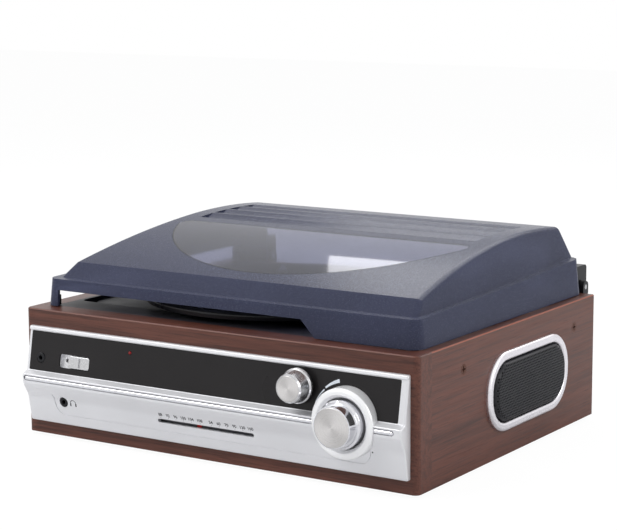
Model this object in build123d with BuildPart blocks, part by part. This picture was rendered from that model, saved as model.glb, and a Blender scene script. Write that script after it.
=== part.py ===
from build123d import *
import os
from math import atan2, cos, degrees, hypot, pi, radians, sin

# A record player in a wooden cabinet, with a radio, two side loudspeakers and a dust cover.
# Millimetres, X from left to right, Y from front to back, Z up. The origin is the middle of
# the table space that the whole machine takes, at the underside of its feet.

os.makedirs("parts", exist_ok=True)

# Cabinet
WIDTH = 350.0
DEPTH = 279.0
BOX_HEIGHT = 97.5
FOOT_HEIGHT = 3.0
FOOT_RADIUS = 10.0
FOOT_INSET = 40.0
FRONT_BOARD = 19.0
SIDE_BOARD = 15.0
BACK_BOARD = 12.0
BASE_BOARD = 4.0
CORNER_ROUND = 4.5
TOP_BEVEL = 0.8
BLOCK = 18.0
BLOCK_HEIGHT = 20.0
BLOCK_LENGTH = 30.0
CORNER_BLOCK_HEIGHT = 60.0
SIDE_SCREW_DEPTHS = (64.2, 243.4)
SIDE_SCREW_DROP = 20.5
SIDE_SCREW_RADIUS = 2.0
SIDE_SCREW_HEAD = 3.9
SIDE_SCREW_LENGTH = 27.0
BASE_SCREW_RADIUS = 1.8
BASE_SCREW_HEAD = 3.6
BASE_SCREW_LENGTH = 16.0

# Clearances
FIT_GAP = 0.15
RUNNING_GAP = 0.05
MOVING_GAP = 0.4

# Front moulding
KNOB_REACH = 27.3
PANEL_WALL = 3.0
PANEL_SIDE_MARGIN = 6.0
PANEL_TOP_MARGIN = 13.0
PANEL_BOTTOM = 13.4
PANEL_FOOT_REACH = 3.9
PANEL_HEAD_REACH = 7.2
PANEL_HEAD = 33.5
COVE_REACH = 11.4
COVE_TOP = 41.0
LEDGE_REACH = 13.1
LEDGE_BOTTOM = 44.6
LEDGE_TOP = 51.4
PLATE_FOOT_REACH = 7.7
PLATE_FOOT = 53.8
PLATE_HEAD_REACH = 2.3
FRAME_REACH = 3.6
FRAME_HEIGHT = 3.2
PLATE_THICK = 1.5
PLATE_LEFT_MARGIN = 2.6
PLATE_RIGHT_MARGIN = 5.4
STRIP_HEIGHT = 3.1
STRIP_DEEP = 2.2
STRIP_GROOVE_HEIGHT = 4.2
STRIP_GROOVE_FOOT = 46.3
STRIP_LEFT_MARGIN = 1.2
STRIP_RIGHT_MARGIN = 5.6
LINE_WIDTH = 0.9
LINE_DEEP = 0.5
LINE_HEIGHT = 21.6
LINE_HEAD = 37.0
LINE_SIDE_MARGIN = 28.4
LINE_ROUND = 9.0
SEAT_RIM = 6.0

# Controls on the front, measured from the moulding's nearer end and from the table
VOLUME_FROM_RIGHT = 46.9
VOLUME_HEIGHT = 49.8
VOLUME_FACE_RADIUS = 14.9
VOLUME_BASE_RADIUS = 17.5
BEZEL_RADIUS = 25.3
BEZEL_BORE = 18.6
BEZEL_REACH = 15.0
TUNING_FROM_RIGHT = 86.6
TUNING_HEIGHT = 71.3
TUNING_FACE_RADIUS = 9.9
TUNING_BASE_RADIUS = 12.7
TUNING_REACH = 21.5
TUNING_FOOT_REACH = 7.9
SHAFT_RADIUS = 3.0
CAP_THICK = 1.0
BOBBIN_RADIUS = 6.0
DRUM_RADIUS = 24.2
DRUM_FROM_MIDDLE = 20.0
DRUM_HEIGHT = 56.5
AUX_FROM_LEFT = 13.3
AUX_HEIGHT = 64.0
PHONES_FROM_LEFT = 35.7
PHONES_HEIGHT = 31.8
JACK_RADIUS = 3.9
JACK_BORE = 1.8
JACK_BORE_DEPTH = 14.0
SELECTOR_FROM_LEFT = 46.2
SELECTOR_HEIGHT = 63.6
SELECTOR_LENGTH = 29.5
SELECTOR_WIDTH = 10.4
SELECTOR_TRAY_DEPTH = 3.2
SLIDER_LENGTH = 20.5
SLIDER_TRAVEL = 8.0
LED_FROM_LEFT = 98.5
LED_HEIGHT = 76.6
LED_RADIUS = 1.2
DIAL_LENGTH = 86.5
DIAL_WIDTH = 3.0
DIAL_HEIGHT = 29.4
POINTER_REST = -8.0
POINTER_WIDTH = 3.6
RAIL_RADIUS = 1.5
RAIL_HEIGHT = 38.0
CONTROL_BOARD_DEPTH = 8.0
BOARD_THICK = 1.6
BOARD_SCREW_RADIUS = 1.2
POST_RADIUS = 3.0

# Deck, platter and drive, measured down from or up from the cabinet's top
DECK_WALL = 2.5
DECK_DROP = 7.0
PLATEAU_DROP = 3.0
PLATEAU_RADIUS = 148.0
RECESS_FRONT = 45.0
RECESS_BACK = 20.0
RECESS_SIDE = 18.0
PLATTER_FROM_LEFT = 152.0
PLATTER_DEPTH = 131.0
PLATTER_RADIUS = 109.0
PLATTER_FOOT = 3.6
PLATTER_TOP = 10.2
PLATTER_RIM = 4.5
PLATTER_WEB = 2.8
MAT_RADIUS = 104.0
MAT_TOP = 11.0
MAT_RINGS = 9
SPINDLE_RADIUS = 3.55
SPINDLE_TOP = 27.3
SPINDLE_CONE = 4.0
SPINDLE_SEAT_RADIUS = 3.95
SPINDLE_NECK_RADIUS = 3.2
SPINDLE_NECK_LIFT = 0.5
BEARING_RADIUS = 6.0
BEARING_LENGTH = 22.0
BELT_RIM_RADIUS = 75.0
BELT_THICK = 0.7
BELT_WIDTH = 4.0
BELT_FOOT = 1.2
PULLEY_RADIUS = 6.0
PULLEY_OFFSET = 92.0
MOTOR_RADIUS = 18.0
MOTOR_HEIGHT = 24.0
MOTOR_SHAFT = 1.0

# Tone arm
ARM_FROM_PLATTER = (142.0, 102.0)
ARM_LENGTH = 184.0
ARM_HEIGHT = 20.5
ARM_TUBE_RADIUS = 4.0
ARM_BASE_RADIUS = 17.0
ARM_BASE_TOP = 11.0
ARM_POST_RADIUS = 3.0
ARM_PIVOT_RADIUS = 1.2
ARM_FORK_GAP = 13.0
ARM_FORK_WIDTH = 20.0
ARM_TAIL = 27.0
WEIGHT_RADIUS = 8.5
WEIGHT_LENGTH = 14.0
HEAD_LENGTH = 26.0
HEAD_WIDTH = 15.0
HEAD_TURN = 0.35
HEAD_THICK = 4.0
CARTRIDGE = (12.0, 18.0, 4.6)
ARM_STUD_RADIUS = 2.5
REST_RADIUS = 3.9
STYLUS_TIP = 12.9
REST_FROM_PIVOT = 158.0
SPEED_FROM_RIGHT = 31.0
SPEED_DEPTH = 150.0
SPEED_TRAVEL = 8.0

# Dust cover
LID_GAP = 0.6
LID_SIDE = 7.8
LID_FRONT = 13.7
LID_BACK = 2.6
LID_CORNER = 9.8
LID_WALL = 2.5
BAND_LEAN = 3.0
BAND_FRONT_TOP = 21.4
BAND_MIDDLE_TOP = 24.0
BAND_BACK_TOP = 29.5
CROWN_FOOT = 21.5
CROWN_FOOT_HEIGHT = 20.0
CREASE = 37.8
CREASE_HEIGHT = 32.1
SHOULDER = 107.0
SHOULDER_HEIGHT = 46.3
CREST_FROM_BACK = 99.0
CREST_HEIGHT = 54.7
RIDGE_FROM_BACK = 54.0
RIDGE_HEIGHT = 55.6
TAIL_FROM_BACK = 8.4
TAIL_HEIGHT = 53.0
CROWN_BACK = 3.6
CROWN_SUNK = 15.0
CROWN_TALL = 60.0
CROWN_SIDE_FOOT = 14.8
CROWN_SIDE_LEAN = 0.42
CROWN_FRONT_ROUND = 5.0
WINDOW_X = 0.0
WINDOW_RADIUS = 142.5
WINDOW_FRONT = 51.4
WINDOW_BACK = 154.0
WINDOW_ROUND = 9.0
LOUVRE_FIRST = 167.0
LOUVRE_PITCH = 20.0
LOUVRES = 4
LOUVRE_DEEP = 2.4
LOUVRE_HALF_WIDTH = 129.0
CUT_HEIGHT = 13.0
CUT_LEFT_POST = 12.5
CUT_RIGHT_END = 69.7
CUT_SIDE_LEG = 10.0
CUT_BACK_LEG = 14.0
BACK_CUT_SIDE = 39.0
BACK_CUT_HEIGHT = 40.0

# Hinges
HINGE_FROM_SIDE = 24.4
HINGE_WIDTH = 29.0
HINGE_REACH = 16.0
HINGE_PIVOT_DEPTH = 6.0
HINGE_PIVOT_HEIGHT = 4.2
HINGE_PIN_RADIUS = 2.0
HINGE_BARREL_RADIUS = 4.6
HINGE_CHEEK = 4.0
HINGE_PLATE = 2.4
HINGE_FOOT = 22.0
HINGE_ARM_TOP = 21.0
HINGE_SCREW_RADIUS = 1.6
HINGE_SCREW_HEAD = 3.0
HINGE_SCREW_LENGTH = 12.0
HINGE_SCREW_DROPS = (8.0, 17.0)
BUMPER_RADIUS = 3.5
BUMPER_HEIGHT = 8.0
BUMPER_INSET = 4.0

# Side loudspeakers
SPEAKER_DEPTH = 163.0
SPEAKER_HEIGHT = 52.2
RING_LENGTH = 130.0
RING_HEIGHT = 59.6
RING_ROUND = 28.0
RING_WIDTH = 6.8
RING_THICK = 3.4
GRILLE_DOME = 5.4
DRIVER_LENGTH = 116.0
DRIVER_HEIGHT = 50.0
DRIVER_FRAME = 3.0
BASKET_DEEP = 20.0
BASKET_TAPER = 25.0
MAGNET_RADIUS = 17.0
MAGNET_THICK = 10.0
CONE_DEEP = 13.0

# Back
SOCKET_FROM_MIDDLE = 70.0
SOCKET_HEIGHT = 48.0
SOCKET_PLATE = (96.0, 34.0, 1.5)
SOCKET_RADIUS = 4.15
SOCKET_LENGTH = 9.0
SOCKET_BORE = 1.6
SOCKET_NECK_RADIUS = 3.6
SOCKET_NECK_LIFT = 0.4
GLAND_RADIUS = 6.5
GLAND_BORE = 3.2
LINE_OUT_FROM_PLATE = (-34.0, -16.0)
AERIAL_FROM_PLATE = 6.0
CORD_FROM_PLATE = 28.0
MAIN_BOARD = (120.0, 80.0)
MAIN_BOARD_X = -70.0
MAIN_BOARD_LIFT = 8.0
TRANSFORMER = (50.0, 42.0, 38.0)
TRANSFORMER_X = 95.0

# Places that follow from the sizes above
FRONT = -(DEPTH + HINGE_REACH - KNOB_REACH) / 2
BACK = FRONT + DEPTH
HALF = WIDTH / 2
TOP = FOOT_HEIGHT + BOX_HEIGHT
FLOOR = FOOT_HEIGHT + BASE_BOARD
INSIDE_HALF = HALF - SIDE_BOARD
INSIDE_FRONT = FRONT + FRONT_BOARD
INSIDE_BACK = BACK - BACK_BOARD
INSIDE_MIDDLE = (INSIDE_FRONT + INSIDE_BACK) / 2
INSIDE_DEPTH = INSIDE_BACK - INSIDE_FRONT
DECK_UNDER = TOP - DECK_DROP - DECK_WALL
PLATEAU_UNDER = TOP - PLATEAU_DROP - DECK_WALL
PANEL_HALF = HALF - PANEL_SIDE_MARGIN
PANEL_TOP = TOP - PANEL_TOP_MARGIN
PLATE_HEAD = PANEL_TOP - FRAME_HEIGHT
SPINDLE_X = -HALF + PLATTER_FROM_LEFT
SPINDLE_Y = FRONT + PLATTER_DEPTH
PIVOT_X = SPINDLE_X + ARM_FROM_PLATTER[0]
PIVOT_Y = SPINDLE_Y + ARM_FROM_PLATTER[1]
VOLUME_X = PANEL_HALF - VOLUME_FROM_RIGHT
TUNING_X = PANEL_HALF - TUNING_FROM_RIGHT
AUX_X = -PANEL_HALF + AUX_FROM_LEFT
PHONES_X = -PANEL_HALF + PHONES_FROM_LEFT
SELECTOR_X = -PANEL_HALF + SELECTOR_FROM_LEFT
LED_X = -PANEL_HALF + LED_FROM_LEFT
HINGE_X = HALF - HINGE_FROM_SIDE
HINGE_Y = BACK + HINGE_PIVOT_DEPTH
HINGE_Z = TOP + HINGE_PIVOT_HEIGHT
speed_x = HALF - SPEED_FROM_RIGHT
board_posts = [(-100, PANEL_BOTTOM + 11), (100, PANEL_BOTTOM + 11),
               (-100, PANEL_TOP - 13), (52, PANEL_TOP - 13)]
hinge_screw_places = [(side * (HINGE_X - 5), TOP - drop)
                      for side in (-1, 1) for drop in HINGE_SCREW_DROPS]
PULLEY_X = SPINDLE_X - PULLEY_OFFSET * cos(pi / 4)
PULLEY_Y = SPINDLE_Y + PULLEY_OFFSET * sin(pi / 4)


def facing_front(reach):
    """A plane square to Y that faces the user, so far in front of the front board."""
    return Plane.XZ.offset(reach - FRONT)


def upright_on(x, y, z):
    """A plane through a vertical axis: local X is the radius and local Y is up."""
    return Plane(origin=(x, y, z), x_dir=(1, 0, 0), z_dir=(0, -1, 0))


def level_on(x, z):
    """A plane through a control's axis: local X is the radius, local Y the reach forward."""
    return Plane(origin=(x, FRONT, z), x_dir=(1, 0, 0), z_dir=(0, 0, -1))


def save(piece, label):
    """Label a finished piece and write it to its own file."""
    piece.part.label = label
    export_step(piece.part, f"parts/{label}.step")


# Cabinet boards
with BuildPart() as front_board:
    with BuildSketch(Plane.XY.offset(FOOT_HEIGHT)) as front_board_plan:
        with Locations((0, FRONT + FRONT_BOARD / 2)):
            Rectangle(WIDTH, FRONT_BOARD)
        fillet(front_board_plan.vertices().group_by(Axis.Y)[0], CORNER_ROUND)
    extrude(amount=BOX_HEIGHT)
    top_edges = front_board.faces().sort_by(Axis.Z)[-1].edges().sort_by(Axis.Y)
    chamfer(top_edges[:-1], TOP_BEVEL)
    with BuildSketch(facing_front(0)):
        with Locations((0, (PANEL_BOTTOM + PANEL_TOP) / 2)):
            Rectangle(2 * (PANEL_HALF - SEAT_RIM), PANEL_TOP - PANEL_BOTTOM - 2 * SEAT_RIM)
    extrude(amount=-FRONT_BOARD, mode=Mode.SUBTRACT)
save(front_board, "front_board")

outward = Plane(origin=(HALF, 0, 0), x_dir=(0, 1, 0), z_dir=(1, 0, 0))
with BuildPart() as side_boards:
    with BuildSketch(Plane.XY.offset(FOOT_HEIGHT)):
        with Locations((HALF - SIDE_BOARD / 2, (INSIDE_FRONT + BACK) / 2)):
            Rectangle(SIDE_BOARD, BACK - INSIDE_FRONT)
    extrude(amount=BOX_HEIGHT)
    rim = side_boards.edges().filter_by(Axis.Y).group_by(Axis.Z)[-1]
    chamfer(rim.sort_by(Axis.X)[-1], TOP_BEVEL)
    with BuildSketch(outward):
        with Locations((FRONT + SPEAKER_DEPTH, SPEAKER_HEIGHT)):
            RectangleRounded(RING_LENGTH - 2 * RING_WIDTH, RING_HEIGHT - 2 * RING_WIDTH,
                             RING_ROUND - RING_WIDTH)
    extrude(amount=-SIDE_BOARD, mode=Mode.SUBTRACT)
    for depth in SIDE_SCREW_DEPTHS:
        with Locations(outward.location * Pos(FRONT + depth, TOP - SIDE_SCREW_DROP)):
            CounterSinkHole(SIDE_SCREW_RADIUS + FIT_GAP, SIDE_SCREW_HEAD + FIT_GAP, SIDE_BOARD)
    mirror(about=Plane.YZ)
save(side_boards, "side_boards")

with BuildPart() as back_board:
    with BuildSketch(Plane.XY.offset(FOOT_HEIGHT)):
        with Locations((0, BACK - BACK_BOARD / 2)):
            Rectangle(2 * INSIDE_HALF, BACK_BOARD)
    extrude(amount=BOX_HEIGHT)
    with BuildSketch(facing_front(-DEPTH)):
        with Locations((SOCKET_FROM_MIDDLE, SOCKET_HEIGHT)):
            Rectangle(SOCKET_PLATE[0] - 16, SOCKET_PLATE[1] - 10)
        with Locations(*hinge_screw_places):
            Circle(HINGE_SCREW_RADIUS)
    extrude(amount=BACK_BOARD, mode=Mode.SUBTRACT)
save(back_board, "back_board")

with BuildPart() as base_board:
    with BuildSketch(Plane.XY.offset(FOOT_HEIGHT)):
        with Locations((0, INSIDE_MIDDLE)):
            Rectangle(2 * INSIDE_HALF, INSIDE_DEPTH)
        with Locations((-INSIDE_HALF + BLOCK / 2, 0), (INSIDE_HALF - BLOCK / 2, 0)):
            with Locations((0, INSIDE_FRONT + BLOCK / 2), (0, INSIDE_BACK - BLOCK / 2)):
                Circle(BASE_SCREW_RADIUS + FIT_GAP, mode=Mode.SUBTRACT)
        with Locations((0, INSIDE_MIDDLE + 55)):
            with GridLocations(9, 1, 8, 1):
                SlotOverall(40, 4, rotation=90, mode=Mode.SUBTRACT)
    extrude(amount=BASE_BOARD)
save(base_board, "base_board")

with BuildPart() as glue_blocks:
    with BuildSketch(Plane.XY.offset(FLOOR)):
        with Locations((-INSIDE_HALF + BLOCK / 2, 0), (INSIDE_HALF - BLOCK / 2, 0)):
            with Locations((0, INSIDE_FRONT + BLOCK / 2), (0, INSIDE_BACK - BLOCK / 2)):
                Rectangle(BLOCK, BLOCK)
                Circle(BASE_SCREW_RADIUS + FIT_GAP, mode=Mode.SUBTRACT)
    extrude(amount=CORNER_BLOCK_HEIGHT)
    with BuildSketch(Plane.XY.offset(DECK_UNDER - BLOCK_HEIGHT)):
        with Locations((INSIDE_HALF - BLOCK / 2, 0), (-INSIDE_HALF + BLOCK / 2, 0)):
            for depth in SIDE_SCREW_DEPTHS:
                with Locations((0, FRONT + depth)):
                    Rectangle(BLOCK, BLOCK_LENGTH)
    extrude(amount=BLOCK_HEIGHT)
    with BuildSketch(Plane.YZ):
        for depth in SIDE_SCREW_DEPTHS:
            with Locations((FRONT + depth, TOP - SIDE_SCREW_DROP)):
                Circle(SIDE_SCREW_RADIUS + FIT_GAP)
    extrude(amount=INSIDE_HALF, both=True, mode=Mode.SUBTRACT)
save(glue_blocks, "glue_blocks")

with BuildPart() as feet:
    foot_places = [(x, y) for x in (-HALF + FOOT_INSET, HALF - FOOT_INSET)
                   for y in (FRONT + FOOT_INSET, BACK - FOOT_INSET)]
    with BuildSketch():
        with Locations(*foot_places):
            Circle(FOOT_RADIUS)
    extrude(amount=FOOT_HEIGHT)
    chamfer(feet.faces().group_by(Axis.Z)[0].edges(), FOOT_HEIGHT / 4)
save(feet, "feet")


def screw(plane, radius, head, length, drive):
    """A countersunk screw whose flat head lies in the plane, shank along its local -Z."""
    section = Plane(origin=plane.origin, x_dir=plane.x_dir, z_dir=plane.y_dir)
    rise = -1 if section.y_dir.dot(plane.z_dir) > 0 else 1
    with BuildPart(mode=Mode.PRIVATE) as body:
        with BuildSketch(section):
            with BuildLine():
                Polyline((0, 0), (head, 0), (radius, rise * (head - radius)),
                         (radius, rise * (length - radius)), (0, rise * length), close=True)
            make_face()
        revolve(axis=Axis(plane.origin, plane.z_dir))
        with BuildSketch(plane):
            Rectangle(drive, drive / 5)
            Rectangle(drive / 5, drive)
        extrude(amount=-head / 4, mode=Mode.SUBTRACT)
    return body.part


with BuildPart() as side_screws:
    for side in (-1, 1):
        for depth in SIDE_SCREW_DEPTHS:
            head_plane = Plane(origin=(side * HALF, FRONT + depth, TOP - SIDE_SCREW_DROP),
                               x_dir=(0, side, 0), z_dir=(side, 0, 0))
            add(screw(head_plane, SIDE_SCREW_RADIUS, SIDE_SCREW_HEAD, SIDE_SCREW_LENGTH,
                      1.3 * SIDE_SCREW_HEAD))
save(side_screws, "side_screws")

with BuildPart() as base_screws:
    for x in (-INSIDE_HALF + BLOCK / 2, INSIDE_HALF - BLOCK / 2):
        for y in (INSIDE_FRONT + BLOCK / 2, INSIDE_BACK - BLOCK / 2):
            with BuildSketch(Plane.XY.offset(FOOT_HEIGHT)):
                with Locations((x, y)):
                    Circle(BASE_SCREW_RADIUS)
            extrude(amount=BASE_SCREW_LENGTH)
            with BuildSketch(Plane.XY.offset(FOOT_HEIGHT)):
                with Locations((x, y)):
                    Circle(BASE_SCREW_HEAD)
            extrude(amount=-FOOT_HEIGHT / 2)


# Front moulding: one section carried along X, hollow behind
panel_section = (
    ((FRONT + 2 * PANEL_WALL, PANEL_BOTTOM), 0),
    ((FRONT - PANEL_FOOT_REACH + 0.6, PANEL_BOTTOM), 0.5),
    ((FRONT - PANEL_FOOT_REACH, PANEL_BOTTOM + 0.8), 0.5),
    ((FRONT - PANEL_HEAD_REACH, PANEL_HEAD), 12),
    ((FRONT - COVE_REACH, COVE_TOP), 5),
    ((FRONT - LEDGE_REACH, LEDGE_BOTTOM), 1.5),
    ((FRONT - LEDGE_REACH, LEDGE_TOP), 0.6),
    ((FRONT - PLATE_FOOT_REACH, PLATE_FOOT), 0.4),
    ((FRONT - PLATE_HEAD_REACH, PLATE_HEAD), 0.2),
    ((FRONT - FRAME_REACH, PLATE_HEAD + 0.5), 0.4),
    ((FRONT - FRAME_REACH + 0.6, PANEL_TOP - 0.6), 0.6),
    ((FRONT - FRAME_REACH + 1.6, PANEL_TOP), 0.3),
    ((FRONT + 2 * PANEL_WALL, PANEL_TOP), 0),
)
section_points = [point for point, radius in panel_section]
section_radii = [radius for point, radius in panel_section]
lean = atan2(PLATE_FOOT_REACH - PLATE_HEAD_REACH, PLATE_HEAD - PLATE_FOOT)
plate_run = hypot(PLATE_FOOT_REACH - PLATE_HEAD_REACH, PLATE_HEAD - PLATE_FOOT)
plate_plane = Plane(
    origin=(0, FRONT - (PLATE_FOOT_REACH + PLATE_HEAD_REACH) / 2, (PLATE_FOOT + PLATE_HEAD) / 2),
    x_dir=(1, 0, 0), z_dir=(0, -cos(lean), sin(lean)))
plate_left = -PANEL_HALF + PLATE_LEFT_MARGIN
plate_right = PANEL_HALF - PLATE_RIGHT_MARGIN
tray_rise = (SELECTOR_HEIGHT - (PLATE_FOOT + PLATE_HEAD) / 2) / cos(lean)


def plate_outline(gap):
    """The black plate's outline on its own sloping plane, drawn in by a gap."""
    with Locations(((plate_left + plate_right) / 2, 0)):
        RectangleRounded(plate_right - plate_left - 2 * gap, plate_run - 0.6 - 2 * gap, 1.2)


# A fine line cut along the foot of the lower panel, turned up at both ends
with BuildPart() as line_body:
    for shift, how in ((0, Mode.ADD), (LINE_DEEP, Mode.SUBTRACT)):
        line_plane = Plane(origin=(-PANEL_HALF, shift, 0), x_dir=(0, 1, 0), z_dir=(1, 0, 0))
        with BuildSketch(line_plane):
            with BuildLine():
                FilletPolyline(*section_points, radius=section_radii, close=True)
            make_face()
        extrude(amount=2 * PANEL_HALF, mode=how)
    with BuildSketch(facing_front(LEDGE_REACH)):
        with BuildLine():
            line_end = PANEL_HALF - LINE_SIDE_MARGIN
            FilletPolyline(
                (-line_end - 2, LINE_HEAD), (-line_end, LINE_HEIGHT), (line_end, LINE_HEIGHT),
                (line_end + 1, LINE_HEAD - 5), radius=LINE_ROUND)
        trace(line_width=LINE_WIDTH)
    extrude(amount=-2 * LEDGE_REACH, mode=Mode.INTERSECT)
line_cut = line_body.part

with BuildPart() as fascia:
    with BuildSketch(Plane.YZ.offset(-PANEL_HALF)):
        with BuildLine():
            FilletPolyline(*section_points, radius=section_radii, close=True)
        make_face()
    extrude(amount=2 * PANEL_HALF)
    for end in (0, -1):
        end_face = fascia.faces().sort_by(Axis.X)[end]
        fillet(end_face.edges().sort_by(Axis.Y)[:-3], 1.1)
    with BuildSketch(Plane.YZ.offset(-PANEL_HALF + PANEL_WALL)) as hollow:
        with BuildLine():
            FilletPolyline(*section_points, radius=section_radii, close=True)
        make_face()
        offset(amount=-PANEL_WALL, kind=Kind.INTERSECTION, mode=Mode.REPLACE)
    extrude(amount=2 * (PANEL_HALF - PANEL_WALL), mode=Mode.SUBTRACT)
    with BuildSketch(facing_front(0)):
        with Locations((0, (PANEL_BOTTOM + PANEL_TOP) / 2)):
            Rectangle(2 * WIDTH, 2 * BOX_HEIGHT)
    extrude(amount=-3 * PANEL_WALL, mode=Mode.SUBTRACT)
    with BuildSketch(plate_plane):
        plate_outline(0)
    extrude(amount=-PLATE_THICK - FIT_GAP, mode=Mode.SUBTRACT)
    # The groove that the bright strip lies in
    with BuildSketch(facing_front(LEDGE_REACH)):
        strip_length = 2 * PANEL_HALF - STRIP_LEFT_MARGIN - STRIP_RIGHT_MARGIN
        with Locations(((STRIP_LEFT_MARGIN - STRIP_RIGHT_MARGIN) / 2,
                        STRIP_GROOVE_FOOT + STRIP_GROOVE_HEIGHT / 2)):
            SlotOverall(strip_length, STRIP_GROOVE_HEIGHT)
    extrude(amount=-STRIP_DEEP, mode=Mode.SUBTRACT)
    # Pads behind the front for the shafts, jacks and the slide switch
    with BuildSketch(facing_front(PANEL_FOOT_REACH - PANEL_WALL)):
        with Locations((TUNING_X, TUNING_HEIGHT)):
            Circle(3 * SHAFT_RADIUS)
        with Locations((AUX_X, AUX_HEIGHT), (PHONES_X, PHONES_HEIGHT)):
            Circle(JACK_RADIUS + 2)
        with Locations((SELECTOR_X, SELECTOR_HEIGHT)):
            Rectangle(SELECTOR_LENGTH + 5, SELECTOR_WIDTH + 5)
    extrude(until=Until.NEXT)
    # Openings for the controls
    with BuildSketch(facing_front(2 * LEDGE_REACH)):
        with Locations((VOLUME_X, VOLUME_HEIGHT)):
            Circle(BEZEL_RADIUS + FIT_GAP)
        with Locations((TUNING_X, TUNING_HEIGHT)):
            Circle(SHAFT_RADIUS + RUNNING_GAP)
        with Locations((AUX_X, AUX_HEIGHT), (PHONES_X, PHONES_HEIGHT)):
            Circle(JACK_RADIUS + FIT_GAP)
        with Locations((SELECTOR_X, SELECTOR_HEIGHT)):
            SlotOverall(SELECTOR_LENGTH - 8, 3)
        with Locations((0, DIAL_HEIGHT)):
            SlotOverall(DIAL_LENGTH, DIAL_WIDTH)
        with Locations((LED_X, LED_HEIGHT)):
            Circle(LED_RADIUS + FIT_GAP)
    extrude(amount=-3 * LEDGE_REACH, mode=Mode.SUBTRACT)
    # Tray that the selector's slider runs in
    with BuildSketch(plate_plane):
        with Locations((SELECTOR_X, tray_rise)):
            RectangleRounded(SELECTOR_LENGTH, SELECTOR_WIDTH, 2.2)
    extrude(amount=-SELECTOR_TRAY_DEPTH, mode=Mode.SUBTRACT)
    # Posts behind the front that the control board is screwed to
    with BuildSketch(facing_front(-CONTROL_BOARD_DEPTH)):
        with Locations(*board_posts):
            Circle(POST_RADIUS)
            Circle(BOARD_SCREW_RADIUS, mode=Mode.SUBTRACT)
    extrude(until=Until.NEXT)
    add(line_cut, mode=Mode.SUBTRACT)
save(fascia, "fascia")

# Screws of the base board and the control board
with BuildPart() as inner_screws:
    add(base_screws.part)
    with BuildSketch(facing_front(-CONTROL_BOARD_DEPTH - BOARD_THICK)):
        with Locations(*board_posts):
            Circle(2 * BOARD_SCREW_RADIUS)
    extrude(amount=-1.4)
    with BuildSketch(facing_front(-CONTROL_BOARD_DEPTH - BOARD_THICK)):
        with Locations(*board_posts):
            Circle(BOARD_SCREW_RADIUS)
    extrude(amount=BOARD_THICK + 6)
save(inner_screws, "inner_screws")

with BuildPart() as fascia_plate:
    with BuildSketch(plate_plane.offset(-PLATE_THICK)):
        plate_outline(FIT_GAP)
    extrude(amount=PLATE_THICK)
    with BuildSketch(facing_front(2 * LEDGE_REACH)):
        with Locations((VOLUME_X, VOLUME_HEIGHT)):
            Circle(BEZEL_RADIUS + FIT_GAP)
        with Locations((TUNING_X, TUNING_HEIGHT)):
            Circle(SHAFT_RADIUS + MOVING_GAP)
        with Locations((AUX_X, AUX_HEIGHT)):
            Circle(JACK_RADIUS + FIT_GAP)
        with Locations((LED_X, LED_HEIGHT)):
            Circle(LED_RADIUS + FIT_GAP)
        with Locations((SELECTOR_X, SELECTOR_HEIGHT)):
            RectangleRounded(SELECTOR_LENGTH, SELECTOR_WIDTH, 2.2)
    extrude(amount=-3 * LEDGE_REACH, mode=Mode.SUBTRACT)
save(fascia_plate, "fascia_plate")

with BuildPart() as trim_strip:
    with BuildSketch(facing_front(LEDGE_REACH - STRIP_DEEP)):
        with Locations(((STRIP_LEFT_MARGIN - STRIP_RIGHT_MARGIN) / 2,
                        STRIP_GROOVE_FOOT + STRIP_HEIGHT / 2 + FIT_GAP)):
            SlotOverall(strip_length - STRIP_GROOVE_HEIGHT + STRIP_HEIGHT - FIT_GAP, STRIP_HEIGHT)
    extrude(amount=STRIP_DEEP)
    fillet(trim_strip.faces().sort_by(Axis.Y)[0].edges(), STRIP_HEIGHT / 2 - 0.3)
    with BuildSketch(facing_front(2 * LEDGE_REACH)):
        with Locations((VOLUME_X, VOLUME_HEIGHT)):
            Circle(BEZEL_RADIUS + FIT_GAP)
    extrude(amount=-3 * LEDGE_REACH, mode=Mode.SUBTRACT)
save(trim_strip, "trim_strip")

# Cup around the volume knob: its floor carries the volume control
with BuildPart() as volume_bezel:
    with BuildSketch(level_on(VOLUME_X, VOLUME_HEIGHT)):
        with BuildLine():
            FilletPolyline(
                (SHAFT_RADIUS + 1.1, 1), (BEZEL_RADIUS, 1), (BEZEL_RADIUS, BEZEL_REACH - 1),
                (BEZEL_RADIUS - 2.5, BEZEL_REACH), (BEZEL_BORE + 2.2, BEZEL_REACH),
                (BEZEL_BORE, BEZEL_REACH - 2.4), (BEZEL_BORE, 3), (SHAFT_RADIUS + 1.1, 3),
                radius=[0, 0, 2, 1, 0.8, 0.5, 0, 0], close=True)
        make_face()
    revolve(axis=Axis((VOLUME_X, FRONT, VOLUME_HEIGHT), (0, -1, 0)))
save(volume_bezel, "volume_bezel")

with BuildPart() as volume_pot:
    with BuildSketch(level_on(VOLUME_X, VOLUME_HEIGHT)):
        with BuildLine():
            Polyline((SHAFT_RADIUS + RUNNING_GAP, 1 - CONTROL_BOARD_DEPTH - 0.5),
                     (8.5, 1 - CONTROL_BOARD_DEPTH - 0.5), (8.5, 1 - FIT_GAP),
                     (SHAFT_RADIUS + 1, 1 - FIT_GAP), (SHAFT_RADIUS + 1, 3 + FIT_GAP),
                     (6, 3 + FIT_GAP), (6, 5), (SHAFT_RADIUS + RUNNING_GAP, 5), close=True)
        make_face()
    revolve(axis=Axis((VOLUME_X, FRONT, VOLUME_HEIGHT), (0, -1, 0)))
save(volume_pot, "volume_pot")

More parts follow.
